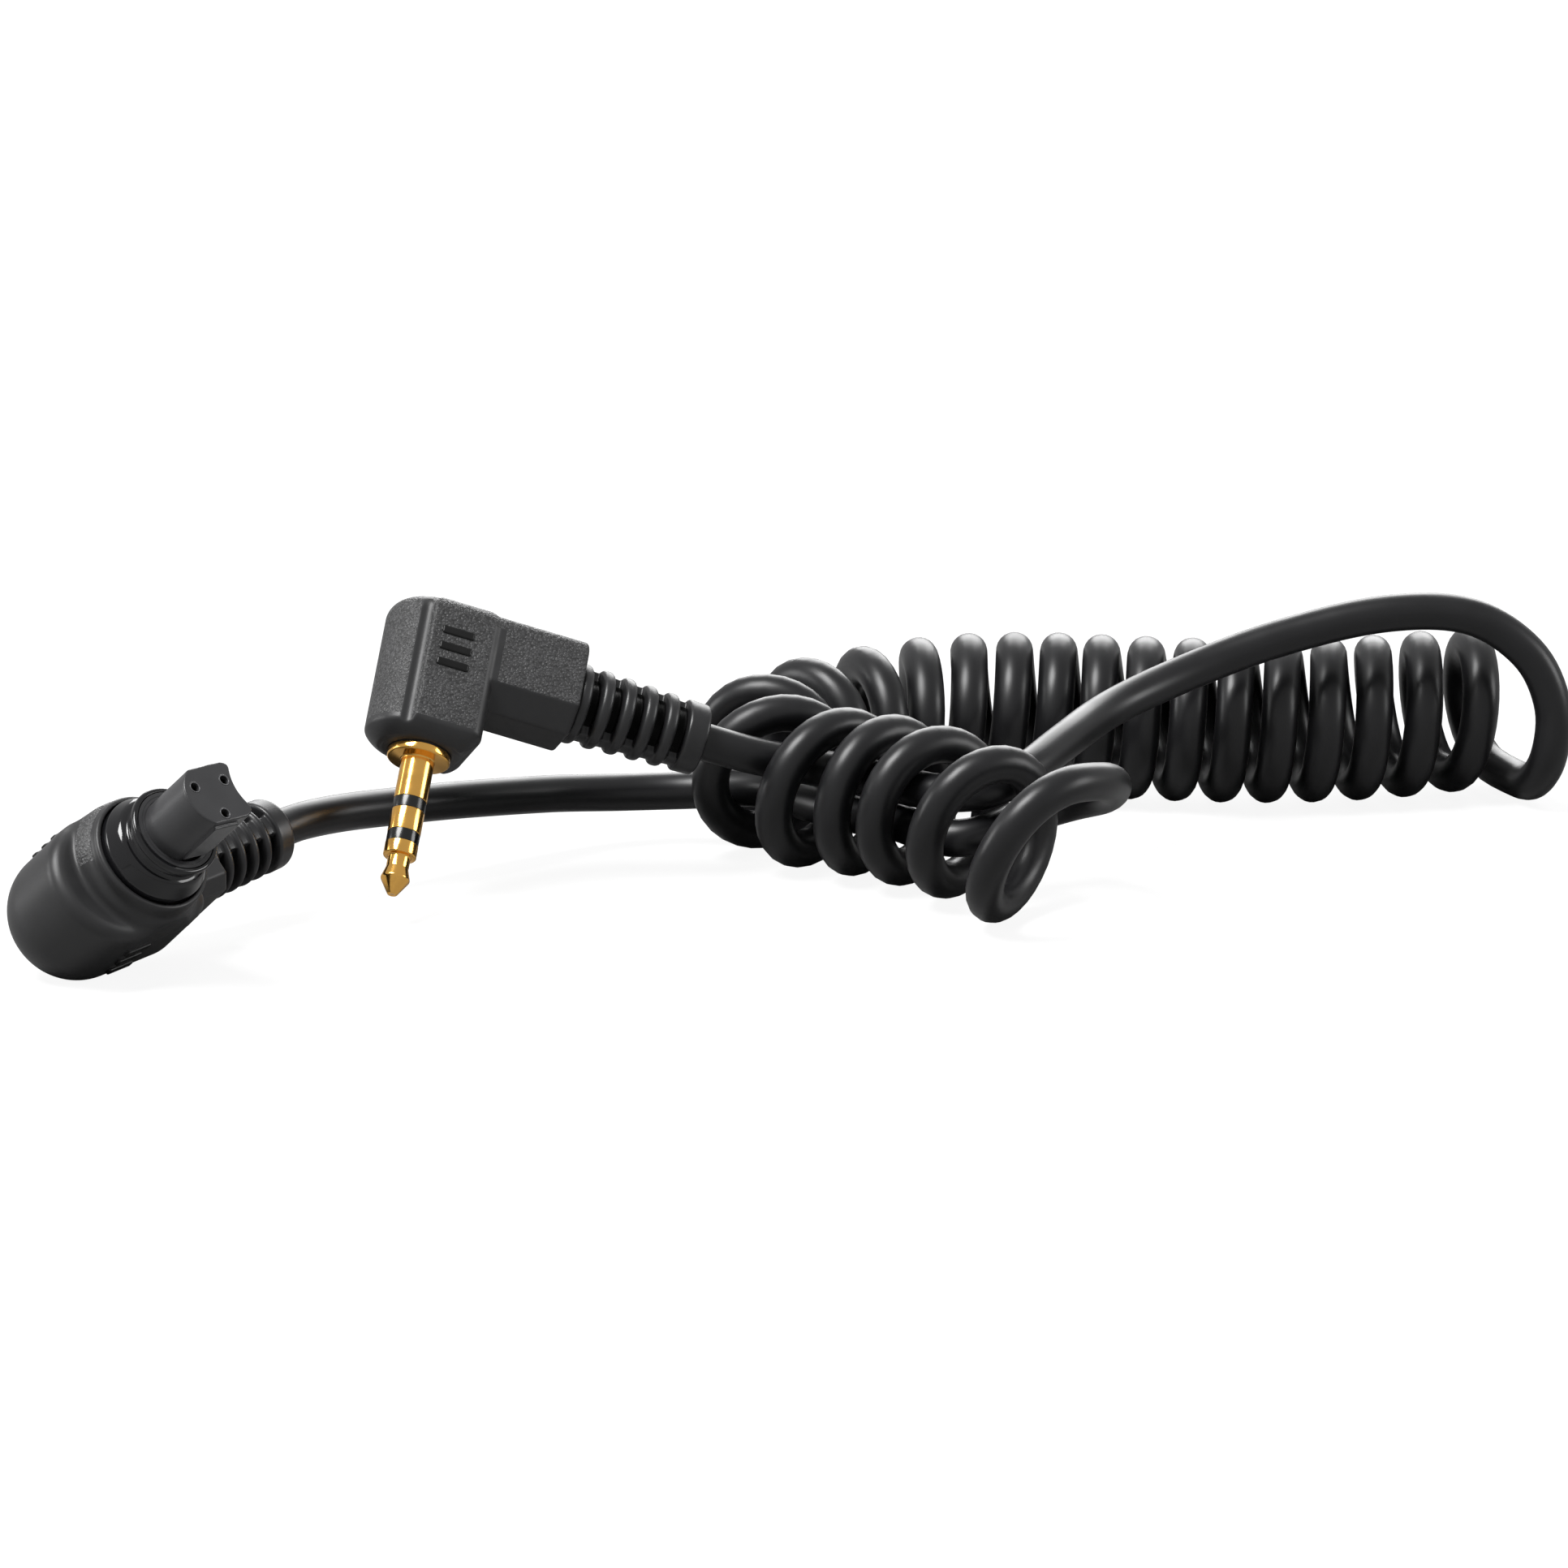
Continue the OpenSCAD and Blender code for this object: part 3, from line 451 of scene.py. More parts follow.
def cell_points(value, axes):
    """One point in each cell of a grid that the surface value = 0 passes through, and its number."""
    inside = value < 0
    size = tuple(n - 1 for n in value.shape)
    total = np.zeros(size + (3,))
    count = np.zeros(size)
    cell = axes[0][1] - axes[0][0]
    for axis in range(3):
        others = [a for a in range(3) if a != axis]
        for u in (0, 1):
            for v in (0, 1):
                low = [slice(0, -1)] * 3
                high = [slice(0, -1)] * 3
                low[others[0]] = high[others[0]] = slice(u, size[others[0]] + u)
                low[others[1]] = high[others[1]] = slice(v, size[others[1]] + v)
                high[axis] = slice(1, None)
                a = value[tuple(low)]
                b = value[tuple(high)]
                cross = inside[tuple(low)] != inside[tuple(high)]
                along = np.where(cross, a / np.where(a == b, 1, a - b), 0)
                total[..., axis] += along
                total[..., others[0]] += cross * u
                total[..., others[1]] += cross * v
                count += cross
    active = count > 0
    number = np.full(size, -1)
    number[active] = np.arange(active.sum())
    start = np.stack(np.nonzero(active), -1)
    origin = np.array([a[0] for a in axes])
    return origin + cell * (start + total[active] / count[active][:, None]), number, inside


def surface(field, low, high, cell):
    """A closed mesh of quads round the points where the field is below zero."""
    axes = [np.arange(a - 1.5 * cell, b + 2.5 * cell, cell) for a, b in zip(low, high)]
    value = field(*np.meshgrid(*axes, indexing="ij"))
    points, number, inside = cell_points(value, axes)
    quads = []
    for axis in range(3):
        u, v = [(1, 2), (2, 0), (0, 1)][axis]
        low_part = [slice(1, -1)] * 3
        low_part[axis] = slice(0, -1)
        high_part = list(low_part)
        high_part[axis] = slice(1, None)
        a = inside[tuple(low_part)]
        b = inside[tuple(high_part)]
        for flip, where in ((False, a & ~b), (True, ~a & b)):
            at = np.stack(np.nonzero(where), -1)
            at[:, u] += 1
            at[:, v] += 1
            corners = []
            for du, dv in ((-1, -1), (0, -1), (0, 0), (-1, 0)):
                c = at.copy()
                c[:, u] += du
                c[:, v] += dv
                corners.append(number[c[:, 0], c[:, 1], c[:, 2]])
            quad = np.stack(corners, -1)
            quads.append(quad[:, ::-1] if flip else quad)
    eps = cell * 0.05
    for _ in range(3):
        x, y, z = points.T
        here = field(x, y, z)
        slope = np.stack([
            field(x + eps, y, z) - field(x - eps, y, z),
            field(x, y + eps, z) - field(x, y - eps, z),
            field(x, y, z + eps) - field(x, y, z - eps),
        ], -1) / (2 * eps)
        steep = np.maximum((slope ** 2).sum(-1), 0.2)
        move = -(here / steep)[:, None] * slope
        points = points + np.clip(move, -cell / 2, cell / 2)
    return points, np.concatenate(quads)


def lathe(profile, sides=72):
    """A closed ring of revolution about Z from a profile of (radius, z) points, round trip."""
    ring = np.linspace(0, 2 * math.pi, sides, endpoint=False)
    points = [(r * math.cos(a), r * math.sin(a), z) for r, z in profile for a in ring]
    rows = len(profile)
    faces = []
    for i in range(rows):
        j = (i + 1) % rows
        for k in range(sides):
            m = (k + 1) % sides
            faces.append((i * sides + k, i * sides + m, j * sides + m, j * sides + k))
    return points, faces


def rounded(corners, steps=5):
    """A closed profile with arcs at its corners: each corner is (radius, z, rounding)."""
    out = []
    count = len(corners)
    for i, (r, z, fillet) in enumerate(corners):
        here = np.array((r, z), float)
        if fillet <= 0:
            out.append(tuple(here))
            continue
        before = np.array(corners[i - 1][:2], float) - here
        after = np.array(corners[(i + 1) % count][:2], float) - here
        before /= np.linalg.norm(before)
        after /= np.linalg.norm(after)
        half = math.acos(max(-1, min(1, float(before @ after)))) / 2
        reach = fillet / math.tan(half)
        middle = here + (before + after) / np.linalg.norm(before + after) * fillet / math.sin(half)
        first = here + before * reach - middle
        last = here + after * reach - middle
        for k in range(steps + 1):
            mix = first * (1 - k / steps) + last * k / steps
            out.append(tuple(middle + mix / np.linalg.norm(mix) * fillet))
    return out


# ---------- fields: distances in millimetres, below zero inside ----------
def length2(a, b):
    """How long a step of a and b at right angles is."""
    return np.sqrt(a * a + b * b)


def blend_in(a, b, k):
    """The union of two fields with a fillet of about k where they meet."""
    h = np.clip(0.5 + 0.5 * (b - a) / k, 0, 1)
    return b + (a - b) * h - k * h * (1 - h)


def common(a, b, k):
    """What two fields share, with its edges rounded by about k."""
    return -blend_in(-a, -b, k)


def round_corner(a, b, r):
    """A flat field with a corner of radius r, from the distances past that corner's centre."""
    return length2(np.maximum(a, 0), np.maximum(b, 0)) + np.minimum(np.maximum(a, b), 0) - r


def upright(flat, z, low, high, round_low, round_high):
    """A flat outline's field stood up from z = low to z = high, with rounded rims."""
    middle = (low + high) / 2
    r = np.where(z < middle, round_low, round_high)
    return round_corner(flat + r, np.abs(z - middle) - (high - low) / 2 + r, r)


def front_outline(x, y, plug, proud=0.0):
    """A column's flat part seen from above, with rounded corners at the arm's side."""
    corner = plug["corner"]
    half = plug["width"] / 2 + proud
    return round_corner(x - (plug["face_x"] - corner), np.abs(y) - (half - corner), corner)


def column_outline(x, y, plug):
    """A column seen from above: round at the back, flat at the arm's side."""
    back = length2(x - plug["round_x"], y) - plug["width"] / 2
    return np.where(x < plug["round_x"], back, front_outline(x, y, plug))


def arm_field(x, y, z, plug, from_x):
    """The side arm: two crisp slopes along its root side, and a rounded crown on its other side."""
    up = (z - plug["arm_root"]) * plug["arm_way"]
    lean = math.hypot(plug["slope_w"], plug["slope_h"])
    side = np.abs(y) - ARM_W / 2
    slope = (side * plug["slope_h"] + (plug["slope_h"] - up) * plug["slope_w"]) / lean
    section = common(common(side, up - plug["arm_h"], plug["crown"]), slope, ARM_EDGE)
    section = common(section, -up, ARM_EDGE)
    section = common(section, x - plug["end"], 0.4)
    return np.maximum(section, from_x - x)


def rod_field(x, y, z, from_x, to_x, at_z, r):
    """A rod along X."""
    return np.maximum(length2(y, z - at_z) - r, np.maximum(from_x - x, x - to_x))


def post_field(x, y, z, low, high, r):
    """A rod along Z, on the plug's axis."""
    return np.maximum(length2(x, y) - r, np.maximum(low - z, z - high))


def arm_rooms(x, y, z, plug):
    """What is hollow in an arm: the wires' room, the cord's hole and the strain relief's seat."""
    end = plug["end"]
    at_z = plug["cord_z"]
    root = end - ROOT_LEN
    inner = root - CORD_IN
    seat = rod_field(x, y, z, root, end + 1, at_z, ROOT_D / 2 + SEAT)
    hole = rod_field(x, y, z, inner, end, at_z, CORD_D / 2 + CORD_GAP)
    room = rod_field(x, y, z, -WIRE_ROOM_D / 2, inner + 0.1, at_z, WIRE_ROOM_D / 2)
    return np.minimum(np.minimum(seat, hole), room)


def jack_shell_field(x, y, z):
    """The jack's housing: a column, its side arm, and a dished bottom round the flange."""
    column = column_outline(x, y, JACK)
    shape = upright(column, z, JACK_FOOT, JACK["top"], 0.3, 1.6)
    panel = np.maximum(front_outline(x, y, JACK, PANEL_PROUD), PANEL_X - x)
    shape = blend_in(shape, upright(panel, z, PANEL_FOOT, JACK["top"] - 0.05, 0.3, 1.4), 0.08)
    channel = length2(x - CHANNEL_X, np.abs(y) - CHANNEL_Y) - CHANNEL_R
    shape = common(shape, -channel, 0.2)
    bowl = upright(column - 0.45, z, JACK_FOOT - 0.05, JACK["top"] + 3, 2.7, 0.5)
    shape = common(shape, bowl, 0.1)
    shape = blend_in(shape, arm_field(x, y, z, JACK, 0.8), 0.16)
    dish = post_field(x, y, z, 0, JACK_FLANGE_TOP + 0.05, DISH_R)
    shape = common(shape, -dish, 0.2)
    moat = length2(length2(x, y) - MOAT_R, z - JACK_FOOT) - MOAT_DEPTH
    shape = common(shape, -moat, 0.12)
    core = post_field(x, y, z, 0, JACK_CORE_TOP, JACK_CORE_D / 2 + SEAT)
    shape = np.maximum(shape, -core)
    return np.maximum(shape, -arm_rooms(x, y, z, JACK))


def camera_shell_field(x, y, z):
    """The camera plug's housing: a domed column, its side arm, and a shoulder round the sleeve."""
    outline = column_outline(x, y, CAMERA)
    shape = upright(outline, z, -CAMERA["height"], 0, DOME_R, 1.0)
    shape = blend_in(shape, arm_field(x, y, z, CAMERA, 2.0), 0.5)
    around = length2(x, y)
    way = math.radians(CREST_WAY)
    towards = (x * math.cos(way) + y * math.sin(way)) / np.maximum(around, 1)
    crest_z = CREST_Z + CREST_LEAN * towards
    cone = (around - CREST_R + (z - crest_z) * CREST_SLOPE) * 0.96
    inset = np.maximum(cone, outline + CREST_CLEAR)
    crest = common(inset, np.maximum(z - crest_z, SHOULDER_FOOT - z), SHOULDER_EDGE)
    rise = np.maximum(z - SHOULDER_H, SHOULDER_FOOT - z)
    ring = common(around - SHOULDER_R, rise, SHOULDER_EDGE)
    shape = blend_in(blend_in(shape, crest, 0.4), ring, 0.5)
    recess = post_field(x, y, z, RECESS_FLOOR, SHOULDER_H + 1, RECESS_R)
    core_foot = CAMERA["cord_z"] - WIRE_ROOM_D / 2
    core = post_field(x, y, z, core_foot, RECESS_FLOOR + 0.1, CAMERA_CORE_D / 2 + SEAT)
    shape = common(shape, -recess, 0.08)
    shape = np.maximum(shape, -core)
    return np.maximum(shape, -arm_rooms(x, y, z, CAMERA))


def on_lit_crest(at):
    """True on the grained crest that runs part of the way round the camera plug's shoulder, on the
    side that light falls on, where its tone is painted lighter as light.
    """
    turn = math.degrees(math.atan2(at.y, at.x)) - CREST_WAY
    low, high = CREST_LIT_Z
    return low < at.z < high and math.hypot(at.x, at.y) > CREST_LIT_R and abs(turn) < CREST_LIT_REACH


def smooth_on_jack(at):
    """True on the jack housing's smooth parts: its underside, channels, corners and slopes."""
    underside = at.z < SMOOTH_FOOT and math.hypot(at.x, at.y) < SMOOTH_FOOT_R
    low, high = SMOOTH_CHANNEL
    channel = low < at.x < high and abs(at.y) > 2.5 and at.z < 23.0
    low, high = SMOOTH_CORNER
    corner = low < at.x < high and abs(at.y) > 2.4 and at.z < 21.8
    slope = at.x > SMOOTH_ARM_X and at.z < JACK["arm_root"] + JACK["slope_h"]
    return underside or channel or corner or slope


def in_window_shade(at):
    """True deep in a strain relief's windows, where the near-black painted shade goes."""
    return math.hypot(at.y, at.z) < WINDOW_FLOOR + 0.25 and at.x > 0


def boot_field(length):
    """A strain relief along +X from x = 0: rounded ribs with windows between, spines and a collar."""
    pitch = (length - BOOT_COLLAR) / BOOT_WINDOWS

    def field(x, y, z):
        around = length2(y, z)
        rim = BOOT_D1 / 2 + (BOOT_D2 - BOOT_D1) / 2 * np.clip(x / length, 0, 1)
        tube = np.maximum(around - WINDOW_FLOOR, np.maximum(-x, x - length))
        spine = np.maximum(around - (rim - SPINE_SUNK), np.abs(y) - SPINE_W / 2)
        spine = np.maximum(spine, np.maximum(-x, x - length))
        shape = blend_in(tube, spine, 0.3)
        for k in range(BOOT_WINDOWS):
            middle = k * pitch + (pitch - WINDOW_W) / 2
            half = (pitch - WINDOW_W) / 2 + 0.04
            rib = common(around - rim, np.abs(x - middle) - half, RIB_EDGE)
            shape = blend_in(shape, rib, RIB_FILLET)
        half = BOOT_COLLAR / 2
        collar = common(around - rim, np.abs(x - length + half) - half, 0.3)
        shape = blend_in(shape, collar, RIB_FILLET)
        root = np.maximum(around - ROOT_D / 2, np.maximum(SEAT - ROOT_LEN - x, x - 0.5))
        shape = np.minimum(shape, root)
        return np.maximum(shape, CORD_D / 2 + CORD_GAP - around)

    return field


def nose_field(x, y, z):
    """The camera plug's nose: round at the back, a grooved keyed side, a ledge and three holes."""
    turn = math.radians(-NOSE_TURN)
    u = x * math.cos(turn) - y * math.sin(turn)
    v = x * math.sin(turn) + y * math.cos(turn)
    barrel = common(length2(u, v) - NOSE_R, np.abs(v) - NOSE_FLAT, NOSE_EDGE)
    key_in = np.abs(u - KEY_X) - (KEY_HALF - KEY_CORNER)
    key = round_corner(key_in, np.abs(v) - (NOSE_FLAT - KEY_CORNER), KEY_CORNER)
    groove = length2(u - GROOVE_X, v - GROOVE_Y) - GROOVE_R
    head = common(blend_in(barrel, key, 0.08), -groove, 0.3)
    ledge = np.maximum(np.abs(u) - LEDGE_HALF, np.maximum(v + LEDGE_IN, -LEDGE_OUT - v))
    ledge = upright(ledge, z, SLEEVE_TOP + 0.4, NOSE_TOP - 0.5, 0.1, 0.1)
    lower = upright(barrel, z, NOSE_FOOT, SLEEVE_TOP + 0.4, NOSE_EDGE, NOSE_EDGE)
    upper = upright(head, z, SLEEVE_TOP + 0.1, NOSE_TOP, 0.1, 0.12)
    shape = np.minimum(np.minimum(lower, upper), ledge)
    for k in range(3):
        angle = math.radians(HOLE_TURN + 120 * k)
        off = length2(x - HOLE_RING_R * math.cos(angle), y - HOLE_RING_R * math.sin(angle))
        hole = np.maximum(off - HOLE_R, NOSE_TOP - HOLE_DEPTH - 0.05 - z)
        mouth = (off - HOLE_R - HOLE_LIP + (NOSE_TOP - z)) * 0.7
        deep = np.maximum(off - CONTACT_R - SEAT, z - NOSE_TOP + HOLE_DEPTH)
        shape = np.maximum(shape, -np.minimum(np.minimum(hole, mouth), deep))
    return shape


# ---------- the cord ----------
def eased(knots, values, t):
    """A smooth curve through values at the knots, as in the part's source."""
    values = np.asarray(values, float)
    knots = np.asarray(knots, float)
    slopes = np.empty_like(values)
    slopes[1:-1] = (values[2:] - values[:-2]) / (knots[2:] - knots[:-2])[:, None]
    slopes[0] = (values[1] - values[0]) / (knots[1] - knots[0])
    slopes[-1] = (values[-1] - values[-2]) / (knots[-1] - knots[-2])
    t = np.atleast_1d(np.asarray(t, float))
    i = np.clip(np.searchsorted(knots, t, side="right") - 1, 0, len(knots) - 2)
    h = (knots[i + 1] - knots[i])[:, None]
    u = (t[:, None] - knots[i][:, None]) / h
    return ((1 + 2 * u) * (1 - u) ** 2 * values[i] + u * (1 - u) ** 2 * h * slopes[i]
            + u * u * (3 - 2 * u) * values[i + 1] + u * u * (u - 1) * h * slopes[i + 1])


def coil_points(turns):
    """Points of the coil, in millimetres, at the given turn numbers."""
    table = np.array(STATIONS, float)
    x, y, z, heading, lean, extra = eased(table[:, 0], table[:, 1:], turns).T
    heading = np.radians(heading)
    lean = np.radians(lean)
    angle = np.radians(-90 - 360 * np.asarray(turns, float))
    r = TURN_R + extra
    level = np.cos(angle) * r
    rise = np.sin(angle) * r
    return np.array(LAY_AT) + np.stack([
        x - level * np.sin(heading) + rise * np.sin(lean) * np.cos(heading),
        y + level * np.cos(heading) + rise * np.sin(lean) * np.sin(heading),
        z + rise * np.cos(lean),
    ], -1)


def along(points, first, last, step=0.6):
    """Points a step apart on the smooth curve through the points, between two of them."""
    points = np.array([tuple(p) for p in points], float)
    knots = np.concatenate([[0], np.cumsum(np.linalg.norm(np.diff(points, axis=0), axis=1))])
    start, end = knots[first], knots[last]
    count = max(2, round((end - start) / step))
    return eased(knots, points, np.linspace(start, end, count + 1))


def cord_ends(plug, place):
    """Where the cord starts inside a plug, where it leaves the strain relief, and one diameter on."""
    back = Matrix.Scale(1 / MM, 4) @ place
    inner = plug["end"] - ROOT_LEN - CORD_IN
    outer = plug["end"] + plug["boot"]
    return [back @ Vector((x, 0, plug["cord_z"])) for x in (inner, outer, outer + CORD_D)]


def cord_line():
    """The cord's whole centreline from the camera plug to the jack, in millimetres."""
    bit = 0.01
    camera_in, camera_out, camera_off = cord_ends(CAMERA, CAMERA_PLACE)
    jack_in, jack_out, jack_off = cord_ends(JACK, JACK_PLACE)
    coil = coil_points(np.arange(0, COIL_END * 32 + 1) / 32)
    curl_in = [coil_points([COIL_END - 0.06])[0], coil[-1]]
    curl = along(curl_in + [LAY_AT + Vector(p) for p in CURL_ROUTE], 1, -1)
    curl_way = curl[-1] - curl[-2]
    curl_way /= np.linalg.norm(curl_way)
    curl_end = curl[-1] + CORD_D * curl_way
    first_way = coil[0] - coil_points([bit])[0]
    first_way /= np.linalg.norm(first_way)
    coil_off = coil[0] + CORD_D * first_way
    camera_lead = along([camera_in, camera_off] + [LAY_AT + Vector(p) for p in CAMERA_ROUTE]
                        + [curl_end + LAST_STEP * curl_way, curl_end], 1, -2)
    jack_lead = along([jack_in, jack_off] + [LAY_AT + Vector(p) for p in JACK_ROUTE]
                      + [coil_off + LAST_STEP * first_way, coil_off], 1, -2)
    line = np.concatenate([
        np.linspace(camera_in, camera_lead[0], 24)[:-1], camera_lead,
        [curl_end], curl[::-1], coil[-2::-1], [coil_off],
        jack_lead[::-1], np.linspace(jack_lead[0], jack_in, 24)[1:],
    ])
    return line, np.array(camera_out)


def evened(line, rounds=2):
    """The line with its kinks eased where stretches meet, its ends kept."""
    line = line.copy()
    for _ in range(rounds):
        line[1:-1] = (line[:-2] + 2 * line[1:-1] + line[2:]) / 4
    return line


def tube(line, radius, sides=CORD_SIDES):
    """A closed round tube along the line, with its rings carried along without twist."""
    ways = np.gradient(line, axis=0)
    ways /= np.linalg.norm(ways, axis=1)[:, None]
    side = np.cross(ways[0], (0, 0, 1.0))
    side /= np.linalg.norm(side)
    ring = np.linspace(0, 2 * math.pi, sides, endpoint=False)
    points = []
    for at, way in zip(line, ways):
        side = side - way * (side @ way)
        side /= np.linalg.norm(side)
        other = np.cross(way, side)
        points.append(at + radius * (np.cos(ring)[:, None] * side + np.sin(ring)[:, None] * other))
    points = np.concatenate(points)
    count = len(line)
    faces = [tuple(range(sides))[::-1], tuple((count - 1) * sides + k for k in range(sides))]
    for i in range(count - 1):
        for k in range(sides):
            m = (k + 1) % sides
            faces.append((i * sides + k, i * sides + m, (i + 1) * sides + m, (i + 1) * sides + k))
    return points, faces


def make_cord(look):
    """The whole cord as one tube, which stands for its three CAD nodes."""
    line, leaves = cord_line()
    line = evened(line)
    points, faces = tube(line, CORD_D / 2)
    cord = piece("release_cord", points, faces, Matrix.Scale(MM, 4), look["cord"], ROOT,
                 ("cord_camera_lead", "cord_coil", "cord_jack_lead"))


# ---------- the plugs ----------
def shaped(name, field, low, high, cell, place, material, body, slot, nodes=(), other=None):
    """A piece whose surface is where the field is zero, looked for between two corners."""
    points, faces = surface(field, low, high, cell)
    return piece(name, points, faces, place, material, body, nodes, other)


def make_bars(name, x, z, width, place, look):
    """Three raised grip bars on each flat side."""
    half = [size / 2 for size in BAR_SIZE]
    for side in (-1, 1):
        for k in range(BAR_COUNT):
            at = (x, side * width / 2, z + (k - (BAR_COUNT - 1) / 2) * BAR_PITCH)

            def field(px, py, pz, at=at):
                a = np.abs(px - at[0]) - half[0] + BAR_RIM
                b = np.abs(py - at[1]) - half[1] + BAR_RIM
                c = np.abs(pz - at[2]) - half[2] + BAR_RIM
                out = length2(length2(np.maximum(a, 0), np.maximum(b, 0)), np.maximum(c, 0))
                return out + np.minimum(np.maximum(a, np.maximum(b, c)), 0) - BAR_RIM

            low = [middle - h for middle, h in zip(at, half)]
            high = [middle + h for middle, h in zip(at, half)]
            label = "%s_%s_%d" % (name, "left" if side < 0 else "right", k + 1)
            shaped(label, field, low, high, BAR_CELL, place, look["bar"], ROOT, "housing")


def make_boot(name, plug, plug_place, node_name, look):
    """A strain relief at the end of a plug's arm."""
    place = plug_place @ Matrix.Translation((plug["end"], 0, plug["cord_z"]))
    low = (-ROOT_LEN, -BOOT_REACH, -BOOT_REACH)
    high = (plug["boot"], BOOT_REACH, BOOT_REACH)
    # the windows' floors take the near-black painted shade
    shaped(name, boot_field(plug["boot"]), low, high, BOOT_CELL, place, look["boot"], ROOT, "boot",
           (node_name,), (look["deep"], in_window_shade))


def turned(name, corners, place, material, body, nodes=(), steps=5):
    """A piece of revolution about the plug's axis."""
    points, faces = lathe(rounded(corners, steps))
    return piece(name, points, faces, place, material, body, nodes)


def make_jack(look):
    """The jack: its housing, grip bars and strain relief, and its contacts and insulators."""
    shaped("jack_shell", jack_shell_field, *JACK_BOX, JACK_CELL, JACK_PLACE, look["shell"], ROOT,
           "housing", ("jack_housing",), (look["smooth_shell"], smooth_on_jack))
    make_bars("jack_bar", JACK_BAR_X, JACK["top"] - JACK_BAR_DROP, JACK["width"], JACK_PLACE, look)
    make_boot("jack_relief", JACK, JACK_PLACE, "jack_boot", look)
    turned("jack_tip", [
        (AXIS_R, 0, 0), *TIP_SHAPE, (PIN_R, TIP_LEN, 0.03), (TIP_ROD_R, TIP_LEN, 0),
        (TIP_ROD_R, JACK_CORE_TOP, 0), (AXIS_R, JACK_CORE_TOP, 0),
    ], JACK_PLACE, look["gold"], ROOT, ("jack_tip_contact",))
    bands = {
        "front": (TIP_LEN, FRONT_BORE_R, FRONT_TUBE_R, FRONT_TOP),
        "rear": (RING_TOP, REAR_BORE_R, REAR_TUBE_R, REAR_TOP),
    }
    for name, (z, bore, neck, top) in bands.items():
        band_r = PIN_R - BAND_SUNK
        turned("jack_band_" + name, [
            (bore, z, 0), (band_r, z, 0.02), (band_r, z + BAND_W, 0.02),
            (neck, z + BAND_W, 0), (neck, top, 0), (bore, top, 0),
        ], JACK_PLACE, look["band"], ROOT, ("jack_%s_insulator" % name,))
    turned("jack_ring", [
        (RING_BORE_R, RING_FOOT, 0), (PIN_R, RING_FOOT, 0.05), (PIN_R, RING_TOP, 0.05),
        (RING_TUBE_R, RING_TOP, 0), (RING_TUBE_R, RING_TUBE_TOP, 0), (RING_BORE_R, RING_TUBE_TOP, 0),
    ], JACK_PLACE, look["gold"], ROOT, ("jack_ring_contact",))
    turned("jack_collar", [
        (COLLAR_BORE_R, COLLAR_FOOT, 0), (PIN_R, COLLAR_FOOT, 0.05), (PIN_R, PIN_LEN, 0.12),
        (COLLAR_R, PIN_LEN, 0.16), (COLLAR_R, JACK_FLANGE_TOP, 0.06),
        (COLLAR_BORE_R, JACK_FLANGE_TOP, 0),
    ], JACK_PLACE, look["gold"], ROOT, ("jack_sleeve_contact",))


def make_camera_plug(look):
    """The camera plug: its housing, grip bars, strain relief, nose and locking sleeve."""
    # the crest on the lit side of the shoulder takes the lighter grain: painted light
    shaped("camera_shell", camera_shell_field, *CAMERA_BOX, CAMERA_CELL, CAMERA_PLACE,
           look["smooth_shell"], ROOT, "housing", ("camera_housing",), (look["crest"], on_lit_crest))
    make_bars("camera_bar", CAMERA_BAR_X, CAMERA_BAR_Z, CAMERA["width"], CAMERA_PLACE, look)
    make_boot("camera_relief", CAMERA, CAMERA_PLACE, "camera_boot", look)
    shaped("camera_key_nose", nose_field, *NOSE_BOX, NOSE_CELL, CAMERA_PLACE, look["nose"], ROOT,
           "nose", ("camera_nose",))
    stop_floor = SLEEVE_TOP - STOP_ROOM_H
    turned("camera_sleeve", [
        (SLEEVE_BORE_R, SLEEVE_REST, 0.05), (SKIRT_R, SLEEVE_REST, 0.05), (SKIRT_R, SKIRT_TOP, 0.4),
        (BELL_R, BELL_Z, 0.8), (NECK_R, NECK_FOOT, 0.3), (NECK_R, NECK_TOP, 0.25),
        (LIP_R, LIP_FOOT, 0.15), (LIP_R, SLEEVE_TOP, 0.22), (STOP_ROOM_R, SLEEVE_TOP, 0.06),
        (STOP_ROOM_R, stop_floor, 0), (SLEEVE_BORE_R, stop_floor, 0.03),
    ], CAMERA_PLACE, look["sleeve"], SLEEVE, ("camera_lock_sleeve",), 8)


def make_lit_hole_rims(look):
    """A thin smooth rim round each of the nose's three contact holes, lighter than the nose as a
    painted highlight on the holes' edges.
    """
    for k, letter in enumerate("abc"):
        angle = math.radians(HOLE_TURN + 120 * k)
        at = (HOLE_RING_R * math.cos(angle), HOLE_RING_R * math.sin(angle), NOSE_TOP)
        turned("nose_rim_painted_highlight_" + letter, [
            (HOLE_R, -RIM_SUNK, 0), (HOLE_R + RIM_W, -RIM_SUNK, 0),
            (HOLE_R + RIM_W, RIM_PROUD, 0.03), (HOLE_R, RIM_PROUD, 0.04),
        ], CAMERA_PLACE @ Matrix.Translation(at), look["rim"], ROOT, (), 3)


def dress_nodes(look):
    """Materials for the CAD nodes that show or lie inside."""
    # the camera's contacts sit deep in the nose's holes and take brass painted dark as their shade
    finishes = dict(
        jack_core="core", jack_solder_tags="brass", jack_wires="wire", camera_core="core",
        camera_barrel="nose", camera_contacts="shaded_brass", camera_lock_spring="steel",
        camera_stop_ring="nose", camera_wires="wire",
    )
    for name, finish in finishes.items():
        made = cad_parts[name]
        made.data.materials.clear()
        made.data.materials.append(look[finish])


# ---------- stage and light ----------
def grey(tone):
    return (tone, tone, tone, 1)


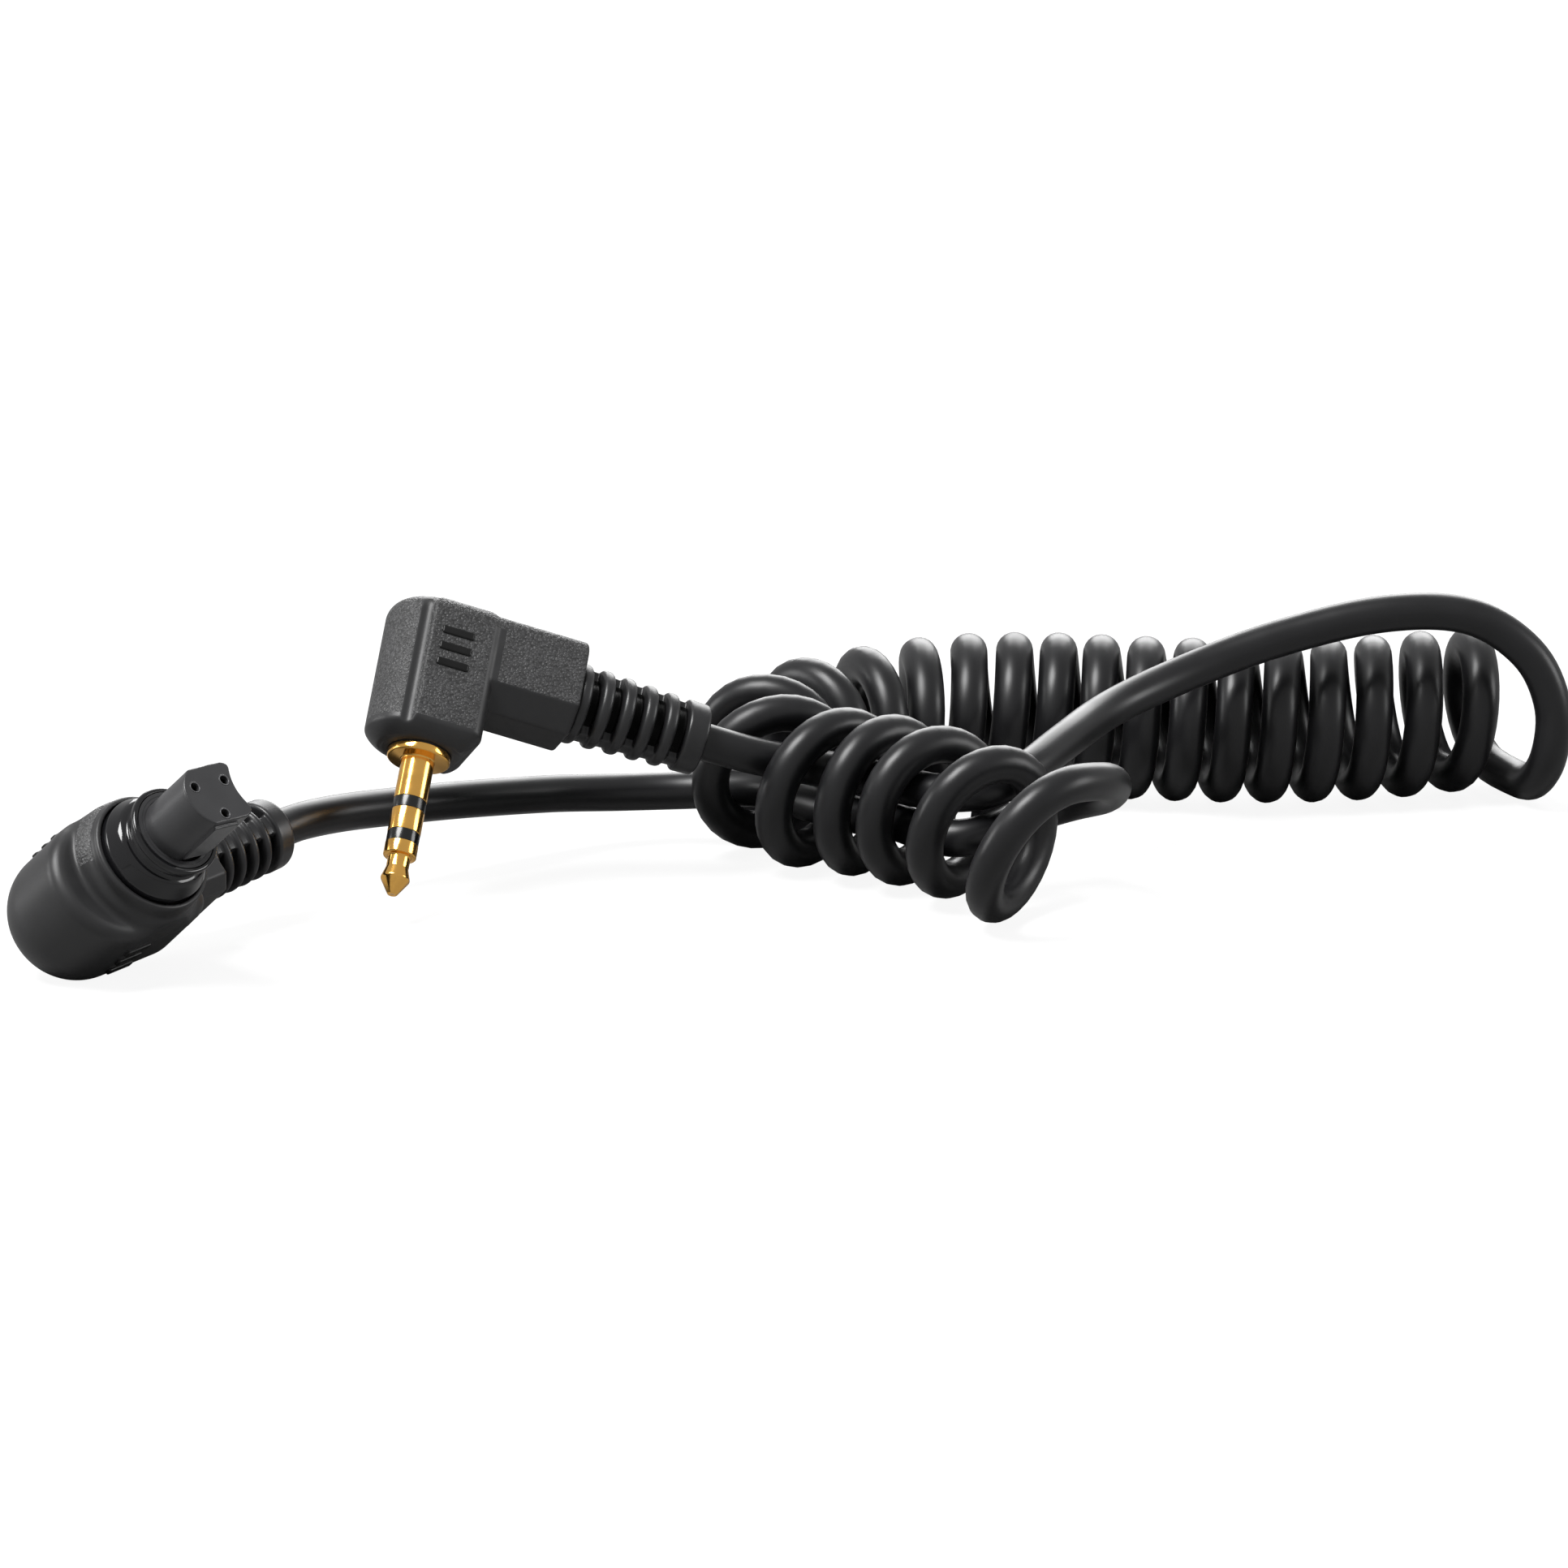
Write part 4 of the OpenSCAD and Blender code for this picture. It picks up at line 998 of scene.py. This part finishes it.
def make_floor():
    """A pale floor that keeps the object's soft shadow."""
    half = FLOOR_HALF
    mesh = bpy.data.meshes.new("floor")
    corners = [(-half, -half, 0), (half, -half, 0), (half, half, 0), (-half, half, 0)]
    mesh.from_pydata(corners, [], [(0, 1, 2, 3)])
    made = bpy.data.materials.new("floor_paper")
    made.use_nodes = True
    shader = made.node_tree.nodes["Principled BSDF"]
    shader.inputs["Roughness"].default_value = 0.9
    shader.inputs["Specular IOR Level"].default_value = 0.0
    seen = node(made, "ShaderNodeLightPath").outputs["Is Camera Ray"]
    tone = node(made, "ShaderNodeMix", data_type="RGBA")
    tone.inputs["A"].default_value = grey(FLOOR_UNSEEN)
    tone.inputs["B"].default_value = grey(FLOOR_SEEN)
    join(made, seen, tone.inputs["Factor"])
    join(made, tone.outputs["Result"], shader.inputs["Base Color"])
    glow = node(made, "ShaderNodeEmission", Strength=FLOOR_GLOW)
    mix = node(made, "ShaderNodeMixShader")
    share = node(made, "ShaderNodeMath", operation="MULTIPLY")
    share.inputs[1].default_value = FLOOR_GLOW_SHARE
    join(made, seen, share.inputs[0])
    join(made, share.outputs["Value"], mix.inputs["Fac"])
    join(made, shader.outputs["BSDF"], mix.inputs[1])
    join(made, glow.outputs["Emission"], mix.inputs[2])
    join(made, mix.outputs["Shader"], made.node_tree.nodes["Material Output"].inputs["Surface"])
    mesh.materials.append(made)
    floor = bpy.data.objects.new("floor", mesh)
    bpy.context.scene.collection.objects.link(floor)
    floor.location.z = -FLOOR_DROP


def make_world():
    """White where the camera sees it, partly so in reflections, and a low even light elsewhere."""
    world = bpy.data.worlds.new("studio")
    bpy.context.scene.world = world
    world.use_nodes = True
    world.node_tree.nodes.clear()
    out = node(world, "ShaderNodeOutputWorld")
    seen = node(world, "ShaderNodeBackground", Strength=1.0, Color=grey(1))
    light = node(world, "ShaderNodeBackground", Strength=SKY, Color=grey(1))
    path = node(world, "ShaderNodeLightPath")
    mix = node(world, "ShaderNodeMixShader")
    white = node(world, "ShaderNodeMath", operation="MULTIPLY_ADD", use_clamp=True)
    white.inputs[1].default_value = GLOSSY_WHITE
    join(world, path.outputs["Is Glossy Ray"], white.inputs[0])
    join(world, path.outputs["Is Camera Ray"], white.inputs[2])
    join(world, white.outputs["Value"], mix.inputs["Fac"])
    join(world, light.outputs["Background"], mix.inputs[1])
    join(world, seen.outputs["Background"], mix.inputs[2])
    join(world, mix.outputs["Shader"], out.inputs["Surface"])


def make_lamp(name, at, size, watts):
    """A soft square lamp that faces the middle of the object."""
    aim = Vector((0, 0, 0.005))
    data = bpy.data.lights.new(name, "AREA")
    data.size = size
    data.energy = watts
    lamp = bpy.data.objects.new(name, data)
    bpy.context.scene.collection.objects.link(lamp)
    lamp.location = Vector(at)
    lamp.rotation_mode = "QUATERNION"
    lamp.rotation_quaternion = (aim - lamp.location).to_track_quat("-Z", "Y")


def make_lights():
    """A key from the left front, a fill behind, and one at each side."""
    make_lamp("key_softbox", (-0.25, -0.15, 0.6), 0.3, 5.6)
    make_lamp("back_softbox", (0.1, 0.75, 0.35), 0.5, 4.0)
    make_lamp("left_softbox", (-0.75, 0.1, 0.2), 0.3, 1.6)
    make_lamp("right_softbox", (0.8, 0.0, 0.25), 0.3, 1.6)


make_camera()
look = make_materials()
make_cord(look)
make_jack(look)
make_camera_plug(look)
make_lit_hole_rims(look)
dress_nodes(look)
make_world()
make_floor()
make_lights()
bpy.context.scene.view_settings.view_transform = "Standard"
